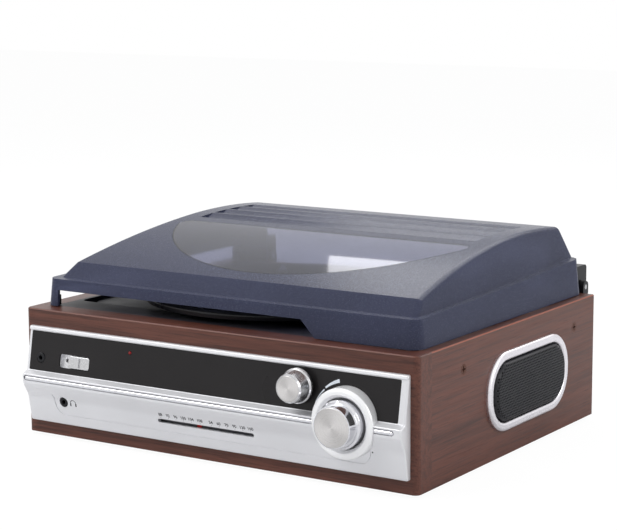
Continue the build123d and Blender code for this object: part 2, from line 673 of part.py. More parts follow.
with BuildPart() as volume_knob:
    with BuildSketch(level_on(VOLUME_X, VOLUME_HEIGHT)):
        with BuildLine():
            FilletPolyline(
                (0, -CONTROL_BOARD_DEPTH + 1), (SHAFT_RADIUS, -CONTROL_BOARD_DEPTH + 1),
                (SHAFT_RADIUS, 8), (VOLUME_BASE_RADIUS, 8),
                (VOLUME_BASE_RADIUS, 17.5), (VOLUME_BASE_RADIUS - 1.4, 19),
                (VOLUME_BASE_RADIUS - 1.6, 21), (VOLUME_FACE_RADIUS, KNOB_REACH - 0.4),
                (VOLUME_FACE_RADIUS - 0.8, KNOB_REACH - 0.2),
                (VOLUME_FACE_RADIUS - 0.8, KNOB_REACH - CAP_THICK), (0, KNOB_REACH - CAP_THICK),
                radius=[0, 0, 0, 0.6, 0.8, 0.4, 0.3, 0, 0, 0, 0], close=True)
        make_face()
    revolve(axis=Axis((VOLUME_X, FRONT, VOLUME_HEIGHT), (0, -1, 0)))
save(volume_knob, "volume_knob")

with BuildPart() as tuning_knob:
    with BuildSketch(level_on(TUNING_X, TUNING_HEIGHT)):
        with BuildLine():
            FilletPolyline(
                (0, -CONTROL_BOARD_DEPTH + 0.4), (BOBBIN_RADIUS + 0.8, -CONTROL_BOARD_DEPTH + 0.4),
                (BOBBIN_RADIUS, -CONTROL_BOARD_DEPTH + 1.7), (BOBBIN_RADIUS + 0.8, -5),
                (SHAFT_RADIUS, -5), (SHAFT_RADIUS, TUNING_FOOT_REACH),
                (TUNING_BASE_RADIUS, TUNING_FOOT_REACH),
                (TUNING_BASE_RADIUS, TUNING_FOOT_REACH + 2.4),
                (TUNING_BASE_RADIUS - 1, TUNING_FOOT_REACH + 3.4),
                (TUNING_FACE_RADIUS + 0.6, TUNING_REACH - 1.6),
                (TUNING_FACE_RADIUS - 0.2, TUNING_REACH - 0.2),
                (TUNING_FACE_RADIUS - 0.6, TUNING_REACH - 0.2),
                (TUNING_FACE_RADIUS - 0.6, TUNING_REACH - CAP_THICK),
                (0, TUNING_REACH - CAP_THICK),
                radius=[0, 0, 0, 0, 0, 0, 0.4, 0.6, 0.6, 0.5, 0, 0, 0, 0], close=True)
        make_face()
    revolve(axis=Axis((TUNING_X, FRONT, TUNING_HEIGHT), (0, -1, 0)))
save(tuning_knob, "tuning_knob")

# Turned discs let into the faces of both knobs
for cap_name, cap_x, cap_z, cap_radius, cap_reach in (
        ("volume_knob_cap", VOLUME_X, VOLUME_HEIGHT, VOLUME_FACE_RADIUS - 0.8, KNOB_REACH),
        ("tuning_knob_cap", TUNING_X, TUNING_HEIGHT, TUNING_FACE_RADIUS - 0.6, TUNING_REACH)):
    with BuildPart() as knob_cap:
        with BuildSketch(facing_front(cap_reach)):
            with Locations((cap_x, cap_z)):
                Circle(cap_radius - FIT_GAP / 3)
        extrude(amount=-CAP_THICK)
        chamfer(knob_cap.faces().sort_by(Axis.Y)[0].edges(), 0.25)
    save(knob_cap, cap_name)

# Slide switch: slider in the tray, switch body behind it
slider_x = SELECTOR_X + (SELECTOR_LENGTH - SLIDER_LENGTH) / 2 - MOVING_GAP
tray_plane = plate_plane.offset(-SELECTOR_TRAY_DEPTH)
with BuildPart() as selector_slider:
    with BuildSketch(tray_plane.offset(RUNNING_GAP)):
        with Locations((slider_x, tray_rise)):
            RectangleRounded(SLIDER_LENGTH, SELECTOR_WIDTH - 2 * MOVING_GAP, 1.8)
    extrude(amount=SELECTOR_TRAY_DEPTH)
    fillet(selector_slider.faces().sort_by(Axis.Y)[0].edges(), 0.7)
    with BuildSketch(tray_plane.offset(SELECTOR_TRAY_DEPTH - 1)):
        with Locations((slider_x, tray_rise)):
            Rectangle(2.6, SELECTOR_WIDTH - 2.6)
    extrude(amount=2.2, taper=12)
    with BuildSketch(facing_front(4)):
        with Locations((slider_x, SELECTOR_HEIGHT)):
            Rectangle(3, 2)
    extrude(amount=-7)
save(selector_slider, "selector_slider")

with BuildPart() as slide_switches:
    with BuildSketch(facing_front(-CONTROL_BOARD_DEPTH)):
        with Locations((SELECTOR_X, SELECTOR_HEIGHT)):
            Rectangle(SELECTOR_LENGTH, SELECTOR_WIDTH)
    extrude(amount=CONTROL_BOARD_DEPTH - 1)
    with BuildSketch(facing_front(0)):
        with Locations((slider_x - SLIDER_TRAVEL / 2, SELECTOR_HEIGHT)):
            Rectangle(SLIDER_TRAVEL + 3 + 2 * MOVING_GAP, 2 + 2 * MOVING_GAP)
    extrude(amount=-5, mode=Mode.SUBTRACT)
    with BuildSketch(Plane.XY.offset(DECK_UNDER)):
        with Locations((speed_x, FRONT + SPEED_DEPTH)):
            Rectangle(12, 34)
            Rectangle(3, 2 * SPEED_TRAVEL + 5, mode=Mode.SUBTRACT)
    extrude(amount=-6)
save(slide_switches, "slide_switches")

# Jacks, each with a collar that shows, a bore for the plug and a block on the board
jack_places = ((AUX_X, AUX_HEIGHT, PLATE_FOOT_REACH - 1.2),
               (PHONES_X, PHONES_HEIGHT, PANEL_HEAD_REACH - 0.1))
with BuildPart() as jacks:
    for jack_x, jack_z, jack_reach in jack_places:
        with BuildPart(mode=Mode.PRIVATE) as jack:
            with BuildSketch(facing_front(-CONTROL_BOARD_DEPTH)):
                with Locations((jack_x, jack_z)):
                    Rectangle(10, 9)
            extrude(amount=CONTROL_BOARD_DEPTH - 1)
            with BuildSketch(facing_front(-2)):
                with Locations((jack_x, jack_z)):
                    Circle(JACK_RADIUS)
            extrude(amount=jack_reach + 2)
            chamfer(jack.edges().filter_by(GeomType.CIRCLE).sort_by(Axis.Y)[0], 0.5)
            with Locations(facing_front(jack_reach).location * Pos(jack_x, jack_z)):
                Hole(JACK_BORE, depth=JACK_BORE_DEPTH)
        add(jack.part)
save(jacks, "jacks")

with BuildPart() as power_led:
    with BuildSketch(level_on(LED_X, LED_HEIGHT)):
        with BuildLine():
            FilletPolyline((0, 4.6), (0, -1), (LED_RADIUS + 0.4, -1), (LED_RADIUS + 0.4, -0.2),
                           (LED_RADIUS, -0.2), (LED_RADIUS, 4.6),
                           radius=[0, 0, 0, 0, 0, 0.8 * LED_RADIUS], close=True)
        make_face()
    revolve(axis=Axis((LED_X, FRONT, LED_HEIGHT), (0, -1, 0)))
    with BuildSketch(facing_front(-CONTROL_BOARD_DEPTH)):
        with Locations((LED_X - 1.2, LED_HEIGHT), (LED_X + 1.2, LED_HEIGHT)):
            Rectangle(0.5, 0.5)
    extrude(amount=CONTROL_BOARD_DEPTH - 1)
save(power_led, "power_led")

with BuildPart() as control_board:
    with BuildSketch(facing_front(-CONTROL_BOARD_DEPTH)):
        with Locations((0, (PANEL_BOTTOM + PANEL_TOP) / 2)):
            Rectangle(2 * (PANEL_HALF - SEAT_RIM) - 2, PANEL_TOP - PANEL_BOTTOM - 2 * SEAT_RIM - 2)
        with Locations((DRUM_FROM_MIDDLE, DRUM_HEIGHT)):
            Circle(SHAFT_RADIUS + MOVING_GAP, mode=Mode.SUBTRACT)
        with Locations(*board_posts):
            Circle(BOARD_SCREW_RADIUS + FIT_GAP, mode=Mode.SUBTRACT)
    extrude(amount=-BOARD_THICK)
save(control_board, "control_board")

# Dial: backing strip, rail, pointer, and the drum on the tuning capacitor's shaft
with BuildPart() as dial_backing:
    with BuildSketch(facing_front(0.2)):
        with Locations((0, DIAL_HEIGHT - 1)):
            Rectangle(DIAL_LENGTH + 8, DIAL_WIDTH + 4)
    extrude(amount=1)
    with BuildSketch(facing_front(0.4)):
        with Locations((-DIAL_LENGTH / 2 - 2, DIAL_HEIGHT - 1), (DIAL_LENGTH / 2 + 2, DIAL_HEIGHT - 1)):
            Rectangle(3, DIAL_WIDTH + 3)
    extrude(amount=-CONTROL_BOARD_DEPTH - 0.4)
save(dial_backing, "dial_backing")

with BuildPart() as dial_rail:
    rail_half = DIAL_LENGTH / 2 + 4
    with BuildSketch(Plane.YZ.offset(-rail_half)):
        with Locations((FRONT + 1, RAIL_HEIGHT)):
            Circle(RAIL_RADIUS)
    extrude(amount=2 * rail_half)
    with BuildSketch(facing_front(1)):
        with Locations((-rail_half, RAIL_HEIGHT), (rail_half, RAIL_HEIGHT)):
            Rectangle(3, 6)
    extrude(amount=-CONTROL_BOARD_DEPTH - 1)
save(dial_rail, "dial_rail")

with BuildPart() as dial_pointer:
    with BuildSketch(facing_front(1.6)):
        with Locations((POINTER_REST, (DIAL_HEIGHT - DIAL_WIDTH / 2 - 0.4 + RAIL_HEIGHT + 3) / 2)):
            Rectangle(POINTER_WIDTH, RAIL_HEIGHT + 3 - DIAL_HEIGHT + DIAL_WIDTH / 2 + 0.4)
    extrude(amount=1)
    with BuildSketch(facing_front(3)):
        with Locations((POINTER_REST, RAIL_HEIGHT)):
            Rectangle(8, 6)
    extrude(amount=-6.6)
    with BuildSketch(Plane.YZ.offset(POINTER_REST)):
        with Locations((FRONT + 1, RAIL_HEIGHT)):
            Circle(RAIL_RADIUS + RUNNING_GAP)
    extrude(amount=5, both=True, mode=Mode.SUBTRACT)
save(dial_pointer, "dial_pointer")

with BuildPart() as tuning_drum:
    with BuildSketch(level_on(DRUM_FROM_MIDDLE, DRUM_HEIGHT)):
        with BuildLine():
            Polyline((0, -5.2), (DRUM_RADIUS + 0.8, -5.2), (DRUM_RADIUS, -6.2),
                     (DRUM_RADIUS + 0.8, -7.2), (SHAFT_RADIUS, -7.2), (SHAFT_RADIUS, -14),
                     (0, -14), close=True)
        make_face()
    revolve(axis=Axis((DRUM_FROM_MIDDLE, FRONT, DRUM_HEIGHT), (0, -1, 0)))
save(tuning_drum, "tuning_drum")

with BuildPart() as tuning_capacitor:
    with BuildSketch(facing_front(-CONTROL_BOARD_DEPTH - BOARD_THICK)):
        with Locations((DRUM_FROM_MIDDLE, DRUM_HEIGHT)):
            RectangleRounded(22, 22, 1)
    extrude(amount=-12)
    with BuildSketch(facing_front(-CONTROL_BOARD_DEPTH - BOARD_THICK)):
        with Locations((DRUM_FROM_MIDDLE, DRUM_HEIGHT)):
            Circle(SHAFT_RADIUS + RUNNING_GAP)
    extrude(amount=-6, mode=Mode.SUBTRACT)
save(tuning_capacitor, "tuning_capacitor")

# Deck: a flat rim flush with the boards, a recess, and a round plateau under the platter
recess_length = INSIDE_HALF - RECESS_SIDE + SIDE_BOARD
recess_middle = (FRONT + RECESS_FRONT + BACK - RECESS_BACK) / 2
recess_depth = DEPTH - RECESS_FRONT - RECESS_BACK
with BuildPart() as deck_plate:
    with BuildSketch(Plane.XY.offset(DECK_UNDER)):
        with Locations((0, INSIDE_MIDDLE)):
            Rectangle(2 * (INSIDE_HALF - FIT_GAP), INSIDE_DEPTH - 2 * FIT_GAP)
    extrude(amount=TOP - DECK_UNDER)
    with BuildSketch(Plane.XY.offset(TOP)):
        with Locations((0, recess_middle)):
            RectangleRounded(2 * recess_length, recess_depth, 6)
    extrude(amount=-DECK_DROP, mode=Mode.SUBTRACT)
    with BuildSketch(Plane.XY.offset(TOP - DECK_DROP)):
        with Locations((SPINDLE_X, SPINDLE_Y)):
            Circle(PLATEAU_RADIUS)
        with Locations((0, recess_middle)):
            RectangleRounded(2 * recess_length, recess_depth, 6, mode=Mode.INTERSECT)
    extrude(amount=DECK_DROP - PLATEAU_DROP)
    with BuildSketch(Plane.XY.offset(DECK_UNDER)):
        with Locations((SPINDLE_X, SPINDLE_Y)):
            Circle(PLATEAU_RADIUS - DECK_WALL)
        with Locations((0, recess_middle)):
            Rectangle(2 * (recess_length - DECK_WALL), recess_depth - 2 * DECK_WALL,
                      mode=Mode.INTERSECT)
    extrude(amount=PLATEAU_UNDER - DECK_UNDER, mode=Mode.SUBTRACT)
    with BuildSketch(Plane.XY.offset(DECK_UNDER)):
        with Locations((0, (INSIDE_FRONT + FRONT + RECESS_FRONT) / 2)):
            Rectangle(2 * (INSIDE_HALF - DECK_WALL - BLOCK),
                      RECESS_FRONT - FRONT_BOARD - 2 * DECK_WALL)
    extrude(amount=DECK_DROP, mode=Mode.SUBTRACT)
    with BuildSketch(Plane.XY.offset(TOP)):
        with Locations((SPINDLE_X, SPINDLE_Y)):
            Circle(BEARING_RADIUS + FIT_GAP)
        with Locations((PULLEY_X, PULLEY_Y)):
            Circle(PULLEY_RADIUS + 3)
        with Locations((PIVOT_X, PIVOT_Y)):
            Circle(ARM_POST_RADIUS + 4)
        with Locations((HALF - SPEED_FROM_RIGHT, FRONT + SPEED_DEPTH)):
            SlotOverall(2 * SPEED_TRAVEL + 6, 3, rotation=90)
    extrude(amount=-2 * DECK_DROP, mode=Mode.SUBTRACT)
    fillet(deck_plate.faces().filter_by(Axis.Z).group_by(Axis.Z)[-1].edges()
           .filter_by(GeomType.CIRCLE), 0.6)
save(deck_plate, "deck_plate")

# Bearing, spindle, platter and mat turn about one upright axis
spindle_axis = Axis((SPINDLE_X, SPINDLE_Y, 0), (0, 0, 1))
spindle_plane = upright_on(SPINDLE_X, SPINDLE_Y, TOP)
with BuildPart() as bearing_bush:
    with BuildSketch(spindle_plane):
        with BuildLine():
            Polyline((SHAFT_RADIUS + RUNNING_GAP, -PLATEAU_DROP + 1),
                     (BEARING_RADIUS, -PLATEAU_DROP + 1),
                     (BEARING_RADIUS, PLATEAU_UNDER - TOP), (BEARING_RADIUS + 5, PLATEAU_UNDER - TOP),
                     (BEARING_RADIUS + 5, PLATEAU_UNDER - TOP - 2),
                     (BEARING_RADIUS, PLATEAU_UNDER - TOP - 2), (BEARING_RADIUS, -BEARING_LENGTH),
                     (0, -BEARING_LENGTH), (0, -BEARING_LENGTH + 2),
                     (SHAFT_RADIUS + RUNNING_GAP, -BEARING_LENGTH + 2), close=True)
        make_face()
    revolve(axis=spindle_axis)
save(bearing_bush, "bearing_bush")

# The platter drops over the pin onto a wider seat, and a neck frees the pin from the mat
web_top = PLATTER_TOP - 1.4
with BuildPart() as spindle:
    with BuildSketch(spindle_plane):
        with BuildLine():
            FilletPolyline(
                (0, -BEARING_LENGTH + 2 + MOVING_GAP), (SHAFT_RADIUS, -BEARING_LENGTH + 2 + MOVING_GAP),
                (SHAFT_RADIUS, -0.5), (SPINDLE_SEAT_RADIUS, -0.5),
                (SPINDLE_SEAT_RADIUS, web_top), (SPINDLE_NECK_RADIUS, web_top),
                (SPINDLE_NECK_RADIUS, MAT_TOP + SPINDLE_NECK_LIFT),
                (SPINDLE_RADIUS, MAT_TOP + SPINDLE_NECK_LIFT),
                (SPINDLE_RADIUS, SPINDLE_TOP - SPINDLE_CONE), (0, SPINDLE_TOP),
                radius=[0, 0, 0, 0, 0, 0, 0, 0, 1.5, 0], close=True)
        make_face()
    revolve(axis=spindle_axis)
save(spindle, "spindle")

with BuildPart() as platter:
    with BuildSketch(spindle_plane):
        with BuildLine():
            FilletPolyline(
                (SPINDLE_SEAT_RADIUS + RUNNING_GAP, -0.5), (3 * SPINDLE_RADIUS, -0.5),
                (3 * SPINDLE_RADIUS, web_top - PLATTER_WEB),
                (BELT_RIM_RADIUS - 3, web_top - PLATTER_WEB), (BELT_RIM_RADIUS - 3, -1),
                (BELT_RIM_RADIUS, -1), (BELT_RIM_RADIUS, web_top - PLATTER_WEB),
                (PLATTER_RADIUS - PLATTER_RIM, web_top - PLATTER_WEB),
                (PLATTER_RADIUS - PLATTER_RIM, PLATTER_FOOT), (PLATTER_RADIUS - 0.8, PLATTER_FOOT),
                (PLATTER_RADIUS, PLATTER_TOP - 2.5), (PLATTER_RADIUS - 2.2, PLATTER_TOP),
                (MAT_RADIUS + 0.4, PLATTER_TOP), (MAT_RADIUS + 0.4, web_top),
                (SPINDLE_SEAT_RADIUS + RUNNING_GAP, web_top),
                radius=[0, 0, 0, 0, 0, 0, 0, 0, 0.6, 0.8, 2, 1.6, 0.8, 0, 0], close=True)
        make_face()
    revolve(axis=spindle_axis)
save(platter, "platter")

ring_pitch = (MAT_RADIUS - 14) / MAT_RINGS
with BuildPart() as platter_mat:
    with BuildSketch(spindle_plane):
        with BuildLine():
            Polyline((SPINDLE_RADIUS + MOVING_GAP, web_top), (MAT_RADIUS, web_top),
                     (MAT_RADIUS, MAT_TOP - 0.5), (MAT_RADIUS - 0.8, MAT_TOP),
                     (SPINDLE_RADIUS + MOVING_GAP, MAT_TOP), close=True)
        make_face()
        for ring in range(MAT_RINGS):
            with Locations((MAT_RADIUS - 6 - ring * ring_pitch, MAT_TOP)):
                Rectangle(0.55 * ring_pitch, 1.0, mode=Mode.SUBTRACT)
    revolve(axis=spindle_axis)
save(platter_mat, "platter_mat")

# Motor, its pulley and the belt round the platter's inner rim
pulley_plane = upright_on(PULLEY_X, PULLEY_Y, TOP)
pulley_axis = Axis((PULLEY_X, PULLEY_Y, 0), (0, 0, 1))
motor_top = -PLATEAU_DROP - DECK_WALL - 3
with BuildPart() as motor:
    with BuildSketch(pulley_plane):
        with BuildLine():
            FilletPolyline(
                (MOTOR_SHAFT + RUNNING_GAP, motor_top - MOTOR_HEIGHT + 3),
                (MOTOR_SHAFT + RUNNING_GAP, motor_top + 1.5), (4, motor_top + 1.5), (4, motor_top),
                (MOTOR_RADIUS, motor_top), (MOTOR_RADIUS, motor_top - MOTOR_HEIGHT),
                (0, motor_top - MOTOR_HEIGHT), (0, motor_top - MOTOR_HEIGHT + 3),
                radius=[0, 0, 0, 0, 1.5, 1.5, 0, 0], close=True)
        make_face()
    revolve(axis=pulley_axis)
    with BuildSketch(Plane.XY.offset(TOP + motor_top - 1.5)):
        with Locations((PULLEY_X, PULLEY_Y)):
            Circle(MOTOR_RADIUS)
            with PolarLocations(MOTOR_RADIUS + 6, 3):
                Circle(6)
                Circle(1.6, mode=Mode.SUBTRACT)
            with PolarLocations(MOTOR_RADIUS + 2, 3):
                Rectangle(8, 12)
            Circle(MOTOR_RADIUS - 2, mode=Mode.SUBTRACT)
            with PolarLocations(MOTOR_RADIUS + 6, 3):
                Circle(1.6, mode=Mode.SUBTRACT)
    extrude(amount=1.5)
save(motor, "motor")

with BuildPart() as motor_grommets:
    with BuildSketch(Plane.XY.offset(TOP + motor_top)):
        with Locations((PULLEY_X, PULLEY_Y)):
            with PolarLocations(MOTOR_RADIUS + 6, 3):
                Circle(4.5)
                Circle(1.6, mode=Mode.SUBTRACT)
    extrude(amount=PLATEAU_UNDER - TOP - motor_top)
save(motor_grommets, "motor_grommets")

with BuildPart() as motor_pulley:
    with BuildSketch(pulley_plane):
        with BuildLine():
            Polyline((0, motor_top - MOTOR_HEIGHT + 3 + MOVING_GAP),
                     (MOTOR_SHAFT, motor_top - MOTOR_HEIGHT + 3 + MOVING_GAP),
                     (MOTOR_SHAFT, BELT_FOOT - 0.8), (PULLEY_RADIUS + 1, BELT_FOOT - 0.8),
                     (PULLEY_RADIUS, BELT_FOOT - 0.2), (PULLEY_RADIUS, BELT_FOOT + BELT_WIDTH + 0.1),
                     (0, BELT_FOOT + BELT_WIDTH + 0.1), close=True)
        make_face()
    revolve(axis=pulley_axis)
save(motor_pulley, "motor_pulley")

with BuildPart() as drive_belt:
    for gap, how in ((FIT_GAP + BELT_THICK, Mode.ADD), (FIT_GAP, Mode.SUBTRACT)):
        with BuildSketch(Plane.XY.offset(TOP + BELT_FOOT)):
            with Locations((SPINDLE_X, SPINDLE_Y)):
                Circle(BELT_RIM_RADIUS + gap)
            with Locations((PULLEY_X, PULLEY_Y)):
                Circle(PULLEY_RADIUS + gap)
            make_hull()
        extrude(amount=BELT_WIDTH, mode=how)
save(drive_belt, "drive_belt")

# Tone arm: base on the deck, a turret that swings, an arm that tilts in its fork
pivot_plane = upright_on(PIVOT_X, PIVOT_Y, TOP)
pivot_axis = Axis((PIVOT_X, PIVOT_Y, 0), (0, 0, 1))
with BuildPart() as arm_base:
    with BuildSketch(pivot_plane):
        with BuildLine():
            FilletPolyline(
                (ARM_POST_RADIUS + RUNNING_GAP, -2.6 * DECK_DROP),
                (ARM_POST_RADIUS + 4 - FIT_GAP, -2.6 * DECK_DROP),
                (ARM_POST_RADIUS + 4 - FIT_GAP, -DECK_DROP), (ARM_BASE_RADIUS, -DECK_DROP),
                (ARM_BASE_RADIUS, ARM_BASE_TOP - 6), (ARM_BASE_RADIUS - 3, ARM_BASE_TOP - 2),
                (ARM_BASE_RADIUS - 3, ARM_BASE_TOP), (ARM_POST_RADIUS + RUNNING_GAP, ARM_BASE_TOP),
                radius=[0, 0, 0, 0, 1.5, 1, 0.5, 0], close=True)
        make_face()
    revolve(axis=pivot_axis)
save(arm_base, "arm_base")

fork_foot = ARM_BASE_TOP + MOVING_GAP
with BuildPart() as arm_turret:
    with BuildSketch(pivot_plane):
        with BuildLine():
            FilletPolyline(
                (0, -2.4 * DECK_DROP), (ARM_POST_RADIUS, -2.4 * DECK_DROP),
                (ARM_POST_RADIUS, fork_foot), (ARM_BASE_RADIUS - 4.5, fork_foot),
                (ARM_BASE_RADIUS - 4.5, fork_foot + 2.6), (0, fork_foot + 2.6),
                radius=[0, 0, 0, 0.4, 0.8, 0], close=True)
        make_face()
    revolve(axis=pivot_axis)
    ear = (ARM_FORK_WIDTH - ARM_FORK_GAP) / 2
    with BuildSketch(Plane.YZ.offset(PIVOT_X - ARM_FORK_WIDTH / 2)):
        with Locations((PIVOT_Y, TOP + (fork_foot + 2 + ARM_HEIGHT) / 2)):
            Rectangle(9, ARM_HEIGHT - fork_foot - 2)
        with Locations((PIVOT_Y, TOP + ARM_HEIGHT)):
            Circle(4.5)
            Circle(ARM_PIVOT_RADIUS + RUNNING_GAP, mode=Mode.SUBTRACT)
    extrude(amount=ear)
    mirror(about=Plane.YZ.offset(PIVOT_X))
save(arm_turret, "arm_turret")

arm_level = TOP + ARM_HEIGHT
with BuildPart() as arm_tube:
    head_plane = Plane(
        origin=(PIVOT_X - 3, PIVOT_Y - ARM_LENGTH + 7, arm_level - HEAD_THICK / 2),
        x_dir=(cos(HEAD_TURN), -sin(HEAD_TURN), 0), z_dir=(0, 0, 1))
    head_side = Plane(origin=head_plane.origin, x_dir=head_plane.y_dir, z_dir=head_plane.x_dir)
    with BuildSketch(head_side):
        with BuildLine():
            FilletPolyline(
                (-HEAD_LENGTH / 2, 0), (HEAD_LENGTH / 2, 0), (HEAD_LENGTH / 2, HEAD_THICK),
                (-2, HEAD_THICK), (-HEAD_LENGTH / 2, HEAD_THICK / 2),
                radius=[0, 0, 1, 6, 0.8], close=True)
        make_face()
    extrude(amount=HEAD_WIDTH / 2, both=True)
    with BuildSketch(head_plane):
        RectangleRounded(HEAD_WIDTH, HEAD_LENGTH, 3)
    extrude(amount=HEAD_THICK, mode=Mode.INTERSECT)
    with BuildSketch(Plane.XZ.offset(-PIVOT_Y - 7)):
        with Locations((PIVOT_X, arm_level)):
            Circle(ARM_TUBE_RADIUS)
    extrude(amount=ARM_LENGTH - HEAD_LENGTH / 2 + 4)
    with Locations((PIVOT_X, PIVOT_Y, arm_level)):
        Box(ARM_FORK_GAP - 1, 16, 10)
        Cylinder(ARM_PIVOT_RADIUS, ARM_FORK_WIDTH, rotation=(0, 90, 0))
    with BuildSketch(Plane.XZ.offset(-PIVOT_Y - ARM_TAIL)):
        with Locations((PIVOT_X, arm_level)):
            Circle(ARM_STUD_RADIUS)
    extrude(amount=ARM_TAIL)
save(arm_tube, "arm_tube")

with BuildPart() as counterweight:
    with BuildSketch(Plane.XZ.offset(-PIVOT_Y - ARM_TAIL)):
        with Locations((PIVOT_X, arm_level)):
            Circle(WEIGHT_RADIUS)
            Circle(ARM_STUD_RADIUS, mode=Mode.SUBTRACT)
    extrude(amount=WEIGHT_LENGTH)
    chamfer(counterweight.edges().filter_by(GeomType.CIRCLE).group_by(SortBy.RADIUS)[-1], 0.8)
save(counterweight, "counterweight")

with BuildPart() as cartridge:
    with BuildSketch(head_plane):
        with Locations((0, -3)):
            RectangleRounded(CARTRIDGE[0], CARTRIDGE[1], 1)
    extrude(amount=-CARTRIDGE[2])
    with BuildSketch(head_plane.offset(-CARTRIDGE[2])):
        with Locations((0, -6)):
            Rectangle(3, 6)
    extrude(amount=2, mode=Mode.SUBTRACT)
save(cartridge, "cartridge")

with BuildPart() as stylus:
    with BuildSketch(head_plane.offset(-CARTRIDGE[2] + 2)):
        with Locations((0, -6)):
            Rectangle(2.6, 5.6)
    extrude(amount=-2.4)
    tip_fall = ARM_HEIGHT - HEAD_THICK / 2 - CARTRIDGE[2] - STYLUS_TIP
    with BuildSketch(head_plane.offset(-CARTRIDGE[2])):
        with Locations((0, -7)):
            Rectangle(0.8, 0.8)
    extrude(amount=-tip_fall, taper=12)
save(stylus, "stylus")

rest_y = PIVOT_Y - REST_FROM_PIVOT
cradle = ARM_HEIGHT - ARM_TUBE_RADIUS - 2 * FIT_GAP
with BuildPart() as arm_rest:
    with BuildSketch(Plane.XY.offset(TOP - DECK_DROP)):
        with Locations((PIVOT_X, rest_y)):
            Circle(REST_RADIUS)
    extrude(amount=DECK_DROP + cradle)
    with BuildSketch(Plane.XY.offset(TOP + cradle - 4)):
        with Locations((PIVOT_X + 1.5, rest_y)):
            RectangleRounded(2 * REST_RADIUS + 3, 2 * REST_RADIUS, 1)
    extrude(amount=4)
    with BuildSketch(Plane.XY.offset(TOP + cradle)):
        with Locations((PIVOT_X + ARM_TUBE_RADIUS + 0.4 + 1, rest_y)):
            Rectangle(2, 6)
    extrude(amount=5)
save(arm_rest, "arm_rest")

with BuildPart() as speed_lever:
    with BuildSketch(Plane.XY.offset(TOP - DECK_DROP + MOVING_GAP)):
        with Locations((speed_x, FRONT + SPEED_DEPTH)):
            RectangleRounded(8, 14, 1.5)
    extrude(amount=DECK_DROP - MOVING_GAP - 1)
    fillet(speed_lever.faces().sort_by(Axis.Z)[-1].edges(), 0.8)
    with BuildSketch(Plane.XY.offset(DECK_UNDER - 4)):
        with Locations((speed_x, FRONT + SPEED_DEPTH)):
            Rectangle(2.2, 4)
    extrude(amount=DECK_WALL + 6)
save(speed_lever, "speed_lever")

# Dust cover: a leaning band below, a crown of arcs above, both hollowed by one wall
def band_body(gap):
    """The band's solid, drawn in by a gap on every side but the open underside."""
    depth = DEPTH - LID_FRONT - LID_BACK
    foot = TOP + LID_GAP
    with BuildPart(mode=Mode.PRIVATE) as body:
        with BuildSketch(Plane.XY.offset(foot)):
            with Locations((0, FRONT + LID_FRONT + depth / 2)):
                RectangleRounded(2 * (HALF - LID_SIDE - gap), depth - 2 * gap, LID_CORNER - gap)
        extrude(amount=BAND_BACK_TOP, taper=band_taper)
        with BuildSketch(Plane.YZ):
            with BuildLine():
                front_top = (FRONT, TOP + BAND_FRONT_TOP - gap)
                back_top = (BACK + 1, TOP + BAND_BACK_TOP - gap)
                ThreePointArc(front_top, (FRONT + DEPTH / 2, TOP + BAND_MIDDLE_TOP - gap), back_top)
                Polyline(back_top, (BACK + 1, foot), (FRONT, foot), front_top)
            make_face()
        extrude(amount=HALF, both=True, mode=Mode.INTERSECT)
    return body.part


def crown_body(gap):
    """The crown's solid, drawn in by a gap, its underside left open below the band's top."""
    with BuildPart(mode=Mode.PRIVATE) as body:
        with BuildSketch(Plane.YZ) as profile:
            with BuildLine():
                front_foot = (FRONT + CROWN_FOOT, TOP + CROWN_FOOT_HEIGHT)
                crease = (FRONT + CREASE, TOP + CREASE_HEIGHT)
                crest = (BACK - CREST_FROM_BACK, TOP + CREST_HEIGHT)
                tail = (BACK - TAIL_FROM_BACK, TOP + TAIL_HEIGHT)
                Line(front_foot, crease)
                ThreePointArc(crease, (FRONT + SHOULDER, TOP + SHOULDER_HEIGHT), crest)
                ThreePointArc(crest, (BACK - RIDGE_FROM_BACK, TOP + RIDGE_HEIGHT), tail)
                Polyline(tail, (BACK - CROWN_BACK, TOP + BAND_BACK_TOP),
                         (BACK - CROWN_BACK, TOP + CROWN_SUNK),
                         (FRONT + CROWN_FOOT, TOP + CROWN_SUNK), front_foot)
            make_face()
            if gap:
                offset(amount=-gap, mode=Mode.REPLACE)
        extrude(amount=HALF, both=True)
        with BuildSketch(facing_front(0)):
            with BuildLine():
                FilletPolyline(
                    (-crown_low + gap, TOP + CROWN_SUNK), (crown_low - gap, TOP + CROWN_SUNK),
                    (crown_high - gap, TOP + CROWN_TALL), (-crown_high + gap, TOP + CROWN_TALL),
                    radius=0.01, close=True)
            make_face()
        extrude(amount=-DEPTH, mode=Mode.INTERSECT)
        side_edges = [edge for edge in body.edges() if abs(edge.center().X) > crown_high / 2
                      and abs(edge.tangent_at(0.5).X) < 0.9]
        slopes = [edge for edge in side_edges
                  if FRONT + gap < edge.center().Y - CROWN_FOOT < FRONT + CREASE - CROWN_FOOT
                  and edge.center().Z > TOP + CROWN_FOOT_HEIGHT]
        rims = [edge for edge in side_edges if edge.center().Z > TOP + CREASE_HEIGHT + 4
                and edge.center().Y < BACK - TAIL_FROM_BACK]
        fillet(slopes + rims, CROWN_FRONT_ROUND - gap)
    return body.part


def window_outline(gap):
    """The window's outline seen from above: a round front and a straight back edge."""
    middle = FRONT + WINDOW_FRONT + WINDOW_RADIUS
    with Locations((WINDOW_X, middle)):
        Circle(WINDOW_RADIUS - gap)
    with Locations((WINDOW_X, FRONT + WINDOW_BACK - gap + WINDOW_RADIUS)):
        Rectangle(3 * WINDOW_RADIUS, 2 * WINDOW_RADIUS, mode=Mode.SUBTRACT)


